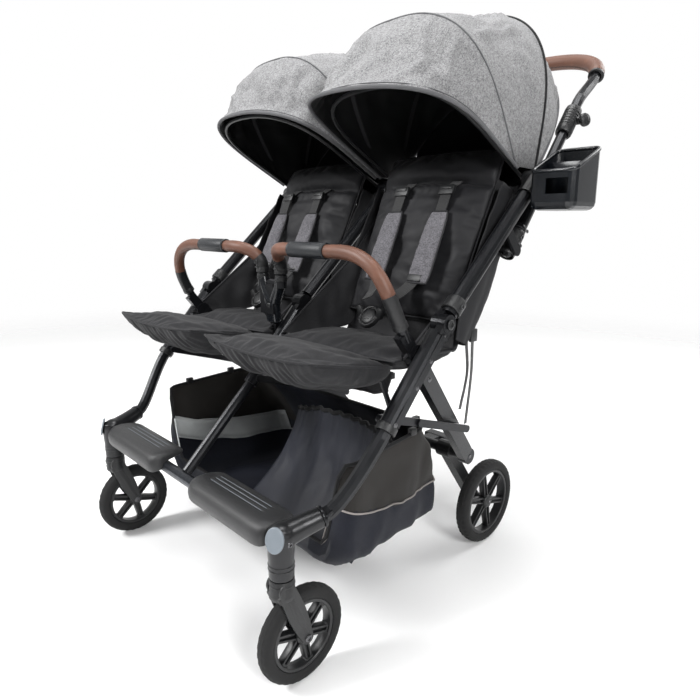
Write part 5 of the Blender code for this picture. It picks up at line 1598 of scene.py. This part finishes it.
def castings():
    for tag, side, _ in SIDES:
        x = CASTER.x * side
        body = Shape("casting")
        body.lathe(((0.0, 0.0), (0.0186, 0.0), (0.0195, 0.0012), (0.0195, 0.03), (0.0203, 0.045),
                    (0.0206, 0.066), (0.0186, 0.078), (0.0, 0.082)),
                   (x, 0.0, 0.1962), (0, 0, 1), "casting", 40)
        ellipsoid(body, (x, 0.004, 0.26), (0.0218, 0.024, 0.0222), "casting")
        mouth = Vector(((CASTER.x + 0.018) * side, 0.064, 0.276))
        body.tube([Vector((x, 0.006, 0.261)), Vector((x, 0.012, 0.262)).lerp(mouth, 0.45), mouth],
                  [0.0196, 0.0178, 0.0162], "casting", 32)
        inner = (CASTER.x - 0.0215) * side
        body.tube([Vector((x, CROSS_LINE[0], 0.252)), Vector((inner, CROSS_LINE[0], CROSS_LINE[1]))],
                  [0.017, 0.0142], "casting", 28)
        made = body.piece("corner_casting_blend_" + tag, 0.0)
        blend = made.modifiers.new("blend", "REMESH")
        blend.mode = "VOXEL"
        blend.voxel_size = 0.0016
        blend.use_smooth_shade = True
        soft = made.modifiers.new("soft", "SMOOTH")
        soft.iterations = 9
        soft.factor = 0.5
        wear(made, "front_frame", "frame_black", "corner_casting_" + tag)

        trim = Shape("cap", "plate", "frame", "steel")
        oval = []
        facing = Vector((0.46 * side, -0.86, 0.22)).normalized()
        lean = facing.to_track_quat("Z", "Y").to_matrix()
        centre = Vector((x, 0.0, 0.2615)) + facing * 0.0185
        for scale, lift in ((1.0, 0.0), (1.0, 0.0022), (0.94, 0.0032), (0.9, 0.003), (0.55, 0.0036),
                            (0.2, 0.0038)):
            wide, tall = 0.0148 * scale, 0.0195 * scale
            oval.append([centre + lean @ Vector((wide * math.cos(turn), tall * math.sin(turn), lift))
                         for turn in circle(36)])
        made_rows = trim.sheet(oval, "cap", True)
        trim.lid(made_rows[-1], "cap")
        for height in (0.2125, 0.2195):
            trim.lathe(((0.02, 0.0005), (0.0203, 0.0), (0.02, -0.0005), (0.019, 0.0)), (x, 0.0, height),
                       (0, 0, 1), "plate", 44, True)
        run = (mouth - Vector((x, 0.01, 0.262))).normalized()
        ring = ((0.0165, 0.0), (0.0171, 0.0006), (0.0171, 0.004), (0.0164, 0.005), (0.012, 0.005),
                (0.012, 0.0))
        trim.lathe(ring, mouth - run * 0.0005, run, "frame", 36, True)
        trim.block(mouth + run * 0.009 + Vector((0.011 * side, -0.004, 0.006)), (0.006, 0.013, 0.006),
                   "frame", Matrix.Rotation(0.5, 3, "X"), 0.0015)
        bolt(trim, (x + 0.02 * side, 0.002, 0.256), (side, 0, 0), 0.0046, "steel", 0.0018)
        wear(trim.piece("corner_casting_trim_" + tag, 0.0), "front_frame", "plastic_grey")


FOOTREST_SECTION = (
    (-0.0215, 0.2385), (-0.024, 0.244), (-0.0247, 0.251), (-0.0238, 0.259), (-0.0205, 0.2665),
    (-0.015, 0.2718),
    (-0.006, 0.2748), (0.003, 0.2757), (0.008, 0.2757), (0.0095, 0.2757), (0.0105, 0.2746), (0.0115, 0.2757),
    (0.018, 0.2755), (0.0195, 0.2754), (0.0205, 0.2743), (0.0215, 0.2754), (0.028, 0.2748), (0.0295, 0.2746),
    (0.0305, 0.2734), (0.0315, 0.2744), (0.04, 0.2722), (0.048, 0.2692), (0.0503, 0.2668), (0.0495, 0.2648),
    (0.035, 0.2622), (0.02, 0.26), (0.008, 0.258), (-0.001, 0.256), (-0.0055, 0.25), (-0.008, 0.242),
    (-0.012, 0.2385),
)
GROOVED = (10, 14, 18)


def footrests():
    """Ribbed plates with a full front lip, a round nose inside and three fine grooves, each lined with a pale
    strip of painted highlight.
    """
    inner = 0.064
    stations = ((0.0, 0.4), (0.0012, 0.6), (0.004, 0.78), (0.0085, 0.9), (0.015, 0.97), (0.025, 1.0),
                (0.032, 1.0), (0.034, 1.0), (0.11, 1.0), (0.19, 1.0), (0.192, 1.0), (0.202, 1.0),
                (0.212, 0.97),
                (0.22, 0.9), (0.2255, 0.78), (0.228, 0.62))
    middle = Vector((0.0, 0.012, 0.26))
    for tag, side, _ in SIDES:
        rows = []
        for distance, scale in stations:
            row = []
            grooves = 0.033 < distance < 0.1915
            for index, point in enumerate(FOOTREST_SECTION):
                place = Vector((0.0, *point))
                if index in GROOVED and not grooves:
                    before, after = FOOTREST_SECTION[index - 1], FOOTREST_SECTION[index + 1]
                    place = Vector((0.0, (before[0] + after[0]) / 2, (before[1] + after[1]) / 2))
                y = (place.y - middle.y) * scale
                z = (place.z - middle.z) * (0.35 + 0.65 * scale)
                place = middle + Vector((0.0, y, z))
                row.append(Vector(((inner + distance) * side, place.y, place.z)))
            rows.append(row)
        shape = Shape("plate", "steel", "cap")
        shape.ends(shape.sheet(rows, "plate", True), "plate")
        for x in (0.11, 0.245):
            bolt(shape, (x * side, 0.02, 0.2598), (0, 0, -1), 0.004, "steel")
        # Pale lines in the light cap colour: painted highlights along the three grooves.
        for index in GROOVED:
            y, z = FOOTREST_SECTION[index]
            line = [Vector(((inner + 0.036 + 0.0025 * step) * side, y, z + 0.0006)) for step in range(61)]
            shape.tube(line, 0.00045, "cap", 6)
        wear(shape.piece("footrest_moulded_" + tag, 0.0, 50.0), "front_frame", "plastic_grey",
             "footrest_" + tag)


# Fasteners and collars on the frame's bodies

# Rivets of the front leg in the side plane, and the foot of the rear leg at the axle
LEG_RIVETS = ((0.17, 0.409), (0.219, 0.458), (0.252, 0.4955))
REAR_LEG_FOOT = (0.484, 0.241)
REAR_LEG_X = 0.342
REAR_LEG_DRIFT = -0.042


def fasteners():
    ring = ((0.0166, 0.0), (0.0176, 0.001), (0.0176, 0.023), (0.016, 0.026), (0.014, 0.026), (0.014, 0.0))
    for tag, side, _ in SIDES:
        front = Shape("steel", "plastic")
        for y, z in LEG_RIVETS:
            bolt(front, ((SIDE_X + 0.0155) * side, y, z), (side, 0, 0), 0.0042, "steel", 0.0016, False)
        front.lathe(((0.0157, 0.0), (0.0172, 0.0008), (0.0172, 0.012), (0.0157, 0.013), (0.0145, 0.013),
                     (0.0145, 0.0)), Vector((SIDE_X * side, 0.164, 0.397)) - LEG_RUN * 0.002, LEG_RUN,
                    "plastic", 36, True)
        bolt(front, ((SIDE_X + 0.0165) * side, FOLD.y, FOLD.z), (side, 0, 0), 0.0086, "plastic", 0.0026)
        wear(front.piece("front_leg_fasteners_" + tag, 0.0), "front_frame", "frame_black")

        upper = Shape("plastic", "steel", "frame")
        start = Vector((SIDE_X * side, FOLD.y, FOLD.z)) + UPPER_RUN * 0.026
        upper.lathe(ring, start, UPPER_RUN, "plastic", 36, True)
        bolt(upper, start + UPPER_RUN * 0.013 + Vector((0.0176 * side, 0, 0)), (side, 0, 0), 0.0038, "steel")
        face = Vector((SIDE_X * side, FOLD.y, FOLD.z)) + UPPER_RUN * 0.18 + Vector((0.0134 * side, 0, 0))
        strip = Matrix.Rotation(math.atan2(UPPER_RUN.z, UPPER_RUN.y), 3, "X")
        upper.block(face, (0.0016, 0.23, 0.009), "frame", strip, 0.0006)
        hub = Vector(((SIDE_X + 0.0215) * side, HOOD_PIVOT.y, HOOD_PIVOT.z))
        upper.lathe(((0.0132, 0.0), (0.0132, 0.0012), (0.0118, 0.0022), (0.006, 0.0026), (0.0052, 0.0016),
                     (0.0, 0.0016)), hub, (side, 0, 0), "plastic", 30)
        wear(upper.piece("upper_tube_fasteners_" + tag, 0.0), "upper_frame", "frame_black")

        rear = Shape("steel", "plastic")
        leg_run = Vector((0.0, REAR_LEG_FOOT[0] - CROSSING.y, REAR_LEG_FOOT[1] - CROSSING.z))
        drift = REAR_LEG_DRIFT / leg_run.length
        for distance in (0.07, 0.225, leg_run.length):
            point = Vector((0.0, CROSSING.y, CROSSING.z)) + leg_run.normalized() * distance
            point.x = (REAR_LEG_X + drift * distance + 0.0088) * side
            bolt(rear, point, (side, 0, 0), 0.0048, "steel", 0.0018, False)
        pivot = ((SIDE_X - 0.016) * side, CROSSING.y, CROSSING.z)
        bolt(rear, pivot, (side, 0, 0), 0.009, "plastic", 0.0005, False)
        wear(rear.piece("rear_leg_fasteners_" + tag, 0.0), "rear_frame", "frame_black")


# Handle: grip cover, release sleeves and accessory disc

BARREL_BOLTS = ((0.546, 0.693), (0.525, 0.667))
GRIP_SHOULDER = (0.815, 1.0)
GRIP_TOP = (0.908, 1.076)


def bezier(start, first, second, end, count):
    points = []
    for index in range(count + 1):
        t = index / count
        s = 1.0 - t
        points.append(start * s ** 3 + first * (3 * s * s * t) + second * (3 * s * t * t) + end * t ** 3)
    return points


def grip_line(side):
    reach = HANDLE_FOOT_X
    shoulder = Vector(((reach - 0.002) * side, *GRIP_SHOULDER))
    crown = Vector(((reach - 0.222) * side, *GRIP_TOP))
    return bezier(shoulder, shoulder + Vector((0.0, 0.046, 0.04)),
                  Vector(((reach - 0.062) * side, *GRIP_TOP)), crown, 30)


def handle_grip():
    right, left = grip_line(1.0), grip_line(-1.0)
    line = right[3:] + [Vector((x, *GRIP_TOP)) for x in (0.09, 0.045, 0.0, -0.045, -0.09)] + left[3:][::-1]
    line = smooth_path(line, 120)
    shape = Shape("leather", "stitch", "plastic")
    ends = [0.0142, 0.0154] + [0.0158] * (len(line) - 4) + [0.0154, 0.0142]
    shape.tube(line, ends, "leather", 28)
    seam = []
    for index, point in enumerate(line):
        run = run_at(line, index)
        below = run.cross(Vector((0.0, 0.7, 0.71))).cross(run)
        down = -Vector((0.0, 0.45, 0.89)) if below.length < 1e-6 else below.normalized()
        down = down if down.z < 0 else -down
        seam.append(point + down * 0.0157)
    shape.tube(seam, 0.0009, "stitch", 6)
    for index in range(4, len(seam) - 4, 2):
        run = (seam[index + 1] - seam[index]).normalized()
        across = run.cross(seam[index] - line[index]).normalized()
        shape.tube([seam[index] - across * 0.0022, seam[index] + across * 0.0022], 0.0006, "stitch", 5)
    for here, there in ((line[0], line[1]), (line[-1], line[-2])):
        run = (here - there).normalized()
        shape.lathe(((0.015, 0.0), (0.0162, 0.0008), (0.0162, 0.0052), (0.015, 0.0064), (0.0112, 0.0064),
                     (0.0112, 0.0)), here - run * 0.001, run, "plastic", 32, True)
    wear(shape.piece("handle_grip_cover", 0.0), "handle", "brown_leather", "handle_grip")


def release_sleeves():
    """Ribbed sleeves that slide up the arms to release the fold."""
    for tag, side, word in SIDES:
        middle = Vector((HANDLE_FOOT_X * side, HANDLE_FOOT.y, HANDLE_FOOT.z)) + HANDLE_RUN * 0.317
        half = 0.033
        profile = [(0.0113, -half), (0.0148, -half), (0.0163, 0.004 - half), (0.0165, 0.01 - half)]
        for index in range(6):
            low = -0.018 + index * 0.0068
            profile += [(0.0165, low), (0.0157, low + 0.001), (0.0157, low + 0.0022), (0.0165, low + 0.0032)]
        profile += [(0.0166, half - 0.008), (0.0158, half - 0.0015), (0.0146, half), (0.0113, half)]
        shape = Shape("plastic")
        shape.lathe(profile, middle, HANDLE_RUN, "plastic", 40, True)
        wear(shape.piece("release_sleeve_" + tag, 0.0, 30.0), "trigger_" + word, "plastic_black",
             "fold_trigger_" + tag)


def arm_details():
    for tag, side, _ in SIDES:
        foot = Vector((HANDLE_FOOT_X * side, HANDLE_FOOT.y, HANDLE_FOOT.z))
        shape = Shape("plastic", "steel", "frame")
        collar = ((0.0146, 0.0), (0.0154, 0.0008), (0.0154, 0.007), (0.0146, 0.008), (0.01, 0.008),
                  (0.01, 0.0))
        shape.lathe(collar, foot + HANDLE_RUN * 0.147, HANDLE_RUN, "plastic", 32, True)
        shape.lathe(collar, foot + HANDLE_RUN * 0.046, HANDLE_RUN, "frame", 32, True)
        sleeve = ((0.015, -0.012), (0.016, -0.006), (0.0164, 0.004), (0.0164, 0.038), (0.0156, 0.042),
                  (0.0148, 0.043), (0.0146, 0.0), (0.014, -0.01))
        shape.lathe(sleeve, foot, HANDLE_RUN, "plastic", 36, True)
        for distance in (0.012, 0.03):
            point = foot + HANDLE_RUN * distance + Vector((0.0162 * side, 0, 0))
            bolt(shape, point, (side, 0, 0), 0.0042, "steel")
        if side > 0:
            hub = foot + HANDLE_RUN * 0.325 + Vector((0.0, 0.0, -0.003))
            out = Vector((0.0265, 0.004, -0.002))
            tilt = Matrix.Rotation(0.7, 3, "X")
            shape.block(hub + out * 0.62, (0.022, 0.01, 0.016), "plastic", tilt, 0.003)
            dial = ((0.0, 0.0085), (0.01, 0.0085), (0.0122, 0.007), (0.0128, 0.005), (0.011, 0.0042),
                    (0.0128, 0.0034), (0.0128, 0.0004), (0.011, -0.001), (0.0, -0.001))
            shape.lathe(dial, hub + out, Vector((1.0, -0.35, 0.1)), "plastic", 32)
        for y, z in BARREL_BOLTS:
            point = Vector(((SIDE_X + 0.003) * side, y, z))
            bolt(shape, point, (side, 0, 0), 0.0036, "steel", 0.0016)
        wear(shape.piece("handle_arm_details_" + tag, 0.0), "handle", "tube_grey")


def caddy_details():
    """Rolled rim and divider of the caddy."""
    low, high = (0.434, 0.552), (0.817, 0.0218)
    shape = Shape("caddy")
    wide, deep, corner = 0.0405, 0.0475, 0.013
    rim_path = []
    for x_sign, y_sign, start in ((1, 1, 0), (-1, 1, 90), (-1, -1, 180), (1, -1, 270)):
        for step in range(7):
            turn = math.radians(start + 15 * step)
            x = x_sign * (wide - corner) + corner * math.cos(turn)
            y = y_sign * (deep - corner) + corner * math.sin(turn)
            rise = high[0] + y / 0.049 * high[1]
            rim_path.append(Vector((low[0] + x, low[1] + y, rise)))
    shape.tube(rim_path + rim_path[:2], 0.0027, "caddy", 10, caps=False)
    wall = []
    for x in (-0.0385, -0.013, 0.013, 0.0385):
        bend = 0.008 * (1.0 - (x / 0.0385) ** 2)
        wall.append([Vector((low[0] + x, low[1] + 0.006 - bend, z)) for z in (0.7345, 0.76, 0.79, 0.8135)])
    shape.sheet(wall, "caddy")
    made = shape.piece("caddy_details", 0.0, 60.0)
    thicken(made, 0.0014, offset=0.0)
    wear(made, "handle", "caddy_plastic")


# Bumper bars

def bumper_bars():
    top, grip_in, grip_out = (0.192, 0.664), 0.108, 0.205
    lean = Vector((0.0, -0.479, 0.878))
    for tag, side, word in SIDES:
        inner = mirrored(BUMPER_INNER, side)
        outer = Vector((REAR_LEG_X * side, BUMPER_INNER.y, 0.546))
        inner_top = Vector((0.092 * side, *top))
        outer_top = Vector((0.235 * side, *top))
        up = Vector((0.0, 0.0, 1.0))
        rise = bezier(inner + up * 0.006, inner + up * 0.042, inner_top - Vector((0.046 * side, 0, 0)),
                      inner_top, 22)
        fall = bezier(outer_top, outer_top + Vector((0.085 * side, 0, 0)), outer + lean * 0.079,
                      outer + lean * 0.006, 26)
        shape = Shape("leather", "stitch", "plastic", "steel")
        first = rise[6:] + [inner_top.lerp(outer_top, 0.12)]
        last = [inner_top.lerp(outer_top, 0.78)] + fall[:21]
        for line in (first, last):
            radii = [0.011, 0.0117] + [0.0119] * (len(line) - 4) + [0.0117, 0.011]
            shape.tube(line, radii, "leather", 24)
            shape.tube([point - up * 0.0115 for point in line], 0.0009, "stitch", 5)
        for ends, foot, run in ((rise[:8], inner, up), (fall[19:], outer, lean)):
            shape.tube(ends, 0.0125, "plastic", 24)
            shape.lathe(((0.0118, 0.0), (0.0132, 0.001), (0.0132, 0.009), (0.0124, 0.011), (0.0, 0.011)),
                        foot + run * 0.0006, run, "plastic", 32)
            middle = ends[len(ends) // 2]
            face = Vector((0.0, -0.84, 0.54)) if run == lean else Vector((0.0, -1.0, 0.0))
            bolt(shape, middle + face * 0.012, face, 0.0058, "plastic", 0.0022)
            shape.block(middle + face * 0.0124 - run * 0.011, (0.008, 0.0012, 0.0022), "steel",
                        None, 0.0004)
        wear(shape.piece("bumper_leather_" + tag, 0.0), "bumper_" + word, "brown_leather",
             "bumper_bar_" + tag)

        cover = Shape("grip")
        profile = [(0.0117, -0.0485), (0.0128, -0.0485), (0.014, -0.047), (0.014, -0.044), (0.0136, -0.0432),
                   (0.014, -0.0424)]
        profile += [(radius, -height) for radius, height in reversed(profile)]
        cover.lathe(profile, Vector(((grip_in + grip_out) / 2 * side, *top)), (1, 0, 0), "grip", 36, True)
        wear(cover.piece("bumper_centre_grip_" + tag, 0.0, 30.0), "bumper_" + word, "plastic_grey",
             "bumper_grip_" + tag)


def centre_post():
    """Body of the centre post, its two arms and their slotted collars."""
    shape = Shape("caddy", "plastic", "steel")
    for side in (1.0, -1.0):
        top = Vector((BUMPER_INNER.x * side, BUMPER_INNER.y, 0.6112))
        arm = bezier(Vector((0.006 * side, 0.229, 0.556)), Vector((0.01 * side, 0.228, 0.57)),
                     top - Vector((0.004 * side, 0, 0.03)), top, 12)
        shape.tube(arm, [0.0125, 0.0125, 0.0124, 0.0122, 0.012, 0.0118, 0.0116, 0.0114, 0.0113, 0.0112,
                         0.0112, 0.0112, 0.0112], "caddy", 24)
        shape.lathe(((0.0113, -0.013), (0.0122, -0.0122), (0.0122, -0.0022), (0.0113, -0.0012)),
                    top, (0, 0, 1), "plastic", 30, True)
        shape.block(top + Vector((0.0, -0.012, -0.0075)), (0.007, 0.0014, 0.0026), "steel", None, 0.0004)
    tilt = Matrix.Rotation(0.1, 3, "X")
    shape.block((-0.004, 0.229, 0.54), (0.036, 0.019, 0.056), "caddy", tilt, 0.0075, 4)
    bolt(shape, (-0.004, 0.219, 0.548), (0, -1, 0), 0.006, "plastic", 0.002)
    wear(shape.piece("centre_post_cover", 0.0), "rear_frame", "frame_black")


# Operators

class PieceMaker:
    """What every operator here shares."""

    bl_options = {"REGISTER", "UNDO"}

    def execute(self, context):
        self.make(context.scene)
        return {"FINISHED"}


class STROLLER_OT_stage(PieceMaker, bpy.types.Operator):
    """Lay the floor, hang the lights and place the camera"""

    bl_idname = "stroller.stage"
    bl_label = "Stage"

    def make(self, scene):
        build_stage(scene.stroller_stage)


class STROLLER_OT_frame(PieceMaker, bpy.types.Operator):
    """Give the frame's own nodes their finishes"""

    bl_idname = "stroller.frame"
    bl_label = "Frame finishes"

    def make(self, scene):
        coat_frame()


class STROLLER_OT_wheels(PieceMaker, bpy.types.Operator):
    """Make tyres, rims and caster forks"""

    bl_idname = "stroller.wheels"
    bl_label = "Wheels"

    def make(self, scene):
        wheels()
        caster_forks()


class STROLLER_OT_chassis(PieceMaker, bpy.types.Operator):
    """Make castings, footrests, fasteners and the centre post's cover"""

    bl_idname = "stroller.chassis"
    bl_label = "Chassis details"

    def make(self, scene):
        castings()
        footrests()
        fasteners()
        centre_post()


class STROLLER_OT_handle(PieceMaker, bpy.types.Operator):
    """Make the handle's grip, release sleeves, disc and caddy details"""

    bl_idname = "stroller.handle"
    bl_label = "Handle"

    def make(self, scene):
        handle_grip()
        release_sleeves()
        arm_details()
        caddy_details()


class STROLLER_OT_bumpers(PieceMaker, bpy.types.Operator):
    """Make the bumper bars' leather, grips and connectors"""

    bl_idname = "stroller.bumpers"
    bl_label = "Bumper bars"

    def make(self, scene):
        bumper_bars()


class STROLLER_OT_hoods(PieceMaker, bpy.types.Operator):
    """Make both hoods with their linings, bindings and bow sleeves"""

    bl_idname = "stroller.hoods"
    bl_label = "Hoods"

    def make(self, scene):
        for tag, side, word in SIDES:
            hood(tag, side, word, scene.stroller_cloth)
            hood_curtain(tag, side)


class STROLLER_OT_seats(PieceMaker, bpy.types.Operator):
    """Make backrests, cushions, leg rests and the cloth round them"""

    bl_idname = "stroller.seats"
    bl_label = "Seats"

    def make(self, scene):
        for tag, side, word in SIDES:
            backrest(tag, side, word)
            seat_pad(tag, side)
            leg_rest(tag, side, word)
            seat_sling(tag, side)
            wing(tag, side, True)
            wing(tag, side, False)
            back_cover(tag, side)
            seat_flap(tag, side)
            back_straps(tag, side)


class STROLLER_OT_harness(PieceMaker, bpy.types.Operator):
    """Make the two harnesses"""

    bl_idname = "stroller.harness"
    bl_label = "Harnesses"

    def make(self, scene):
        for tag, side, word in SIDES:
            harness(tag, side, word)
            buckle(tag, side, word)


class STROLLER_OT_basket(PieceMaker, bpy.types.Operator):
    """Make the basket under the seats"""

    bl_idname = "stroller.basket"
    bl_label = "Basket"

    def make(self, scene):
        basket()


class STROLLER_PT_panel(bpy.types.Panel):
    """Lists the pieces that can be made"""

    bl_label = "Double stroller"
    bl_idname = "STROLLER_PT_panel"
    bl_space_type = "VIEW_3D"
    bl_region_type = "UI"
    bl_category = "Stroller"

    def draw(self, context):
        for maker in MAKERS:
            self.layout.operator(maker.bl_idname)
        scene = context.scene
        for group in (scene.stroller_stage, scene.stroller_cloth, scene.stroller_hard):
            for name in group.bl_rna.properties.keys():
                if name not in ("rna_type", "name"):
                    self.layout.prop(group, name)


GROUPS = (StageSettings, ClothSettings, HardSettings)
MAKERS = (STROLLER_OT_stage, STROLLER_OT_frame, STROLLER_OT_wheels, STROLLER_OT_chassis,
          STROLLER_OT_handle, STROLLER_OT_bumpers, STROLLER_OT_hoods, STROLLER_OT_seats, STROLLER_OT_harness,
          STROLLER_OT_basket)


def register():
    for group in GROUPS + MAKERS + (STROLLER_PT_panel,):
        bpy.utils.register_class(group)
    bpy.types.Scene.stroller_stage = PointerProperty(type=StageSettings)
    bpy.types.Scene.stroller_cloth = PointerProperty(type=ClothSettings)
    bpy.types.Scene.stroller_hard = PointerProperty(type=HardSettings)


def unregister():
    del bpy.types.Scene.stroller_stage
    del bpy.types.Scene.stroller_cloth
    del bpy.types.Scene.stroller_hard
    for group in reversed(GROUPS + MAKERS + (STROLLER_PT_panel,)):
        bpy.utils.unregister_class(group)


def main():
    register()
    bpy.ops.stroller.stage()
    bpy.ops.stroller.frame()
    bpy.ops.stroller.wheels()
    bpy.ops.stroller.chassis()
    bpy.ops.stroller.handle()
    bpy.ops.stroller.bumpers()
    bpy.ops.stroller.hoods()
    bpy.ops.stroller.seats()
    bpy.ops.stroller.harness()
    bpy.ops.stroller.basket()


if __name__ == "__main__":
    main()
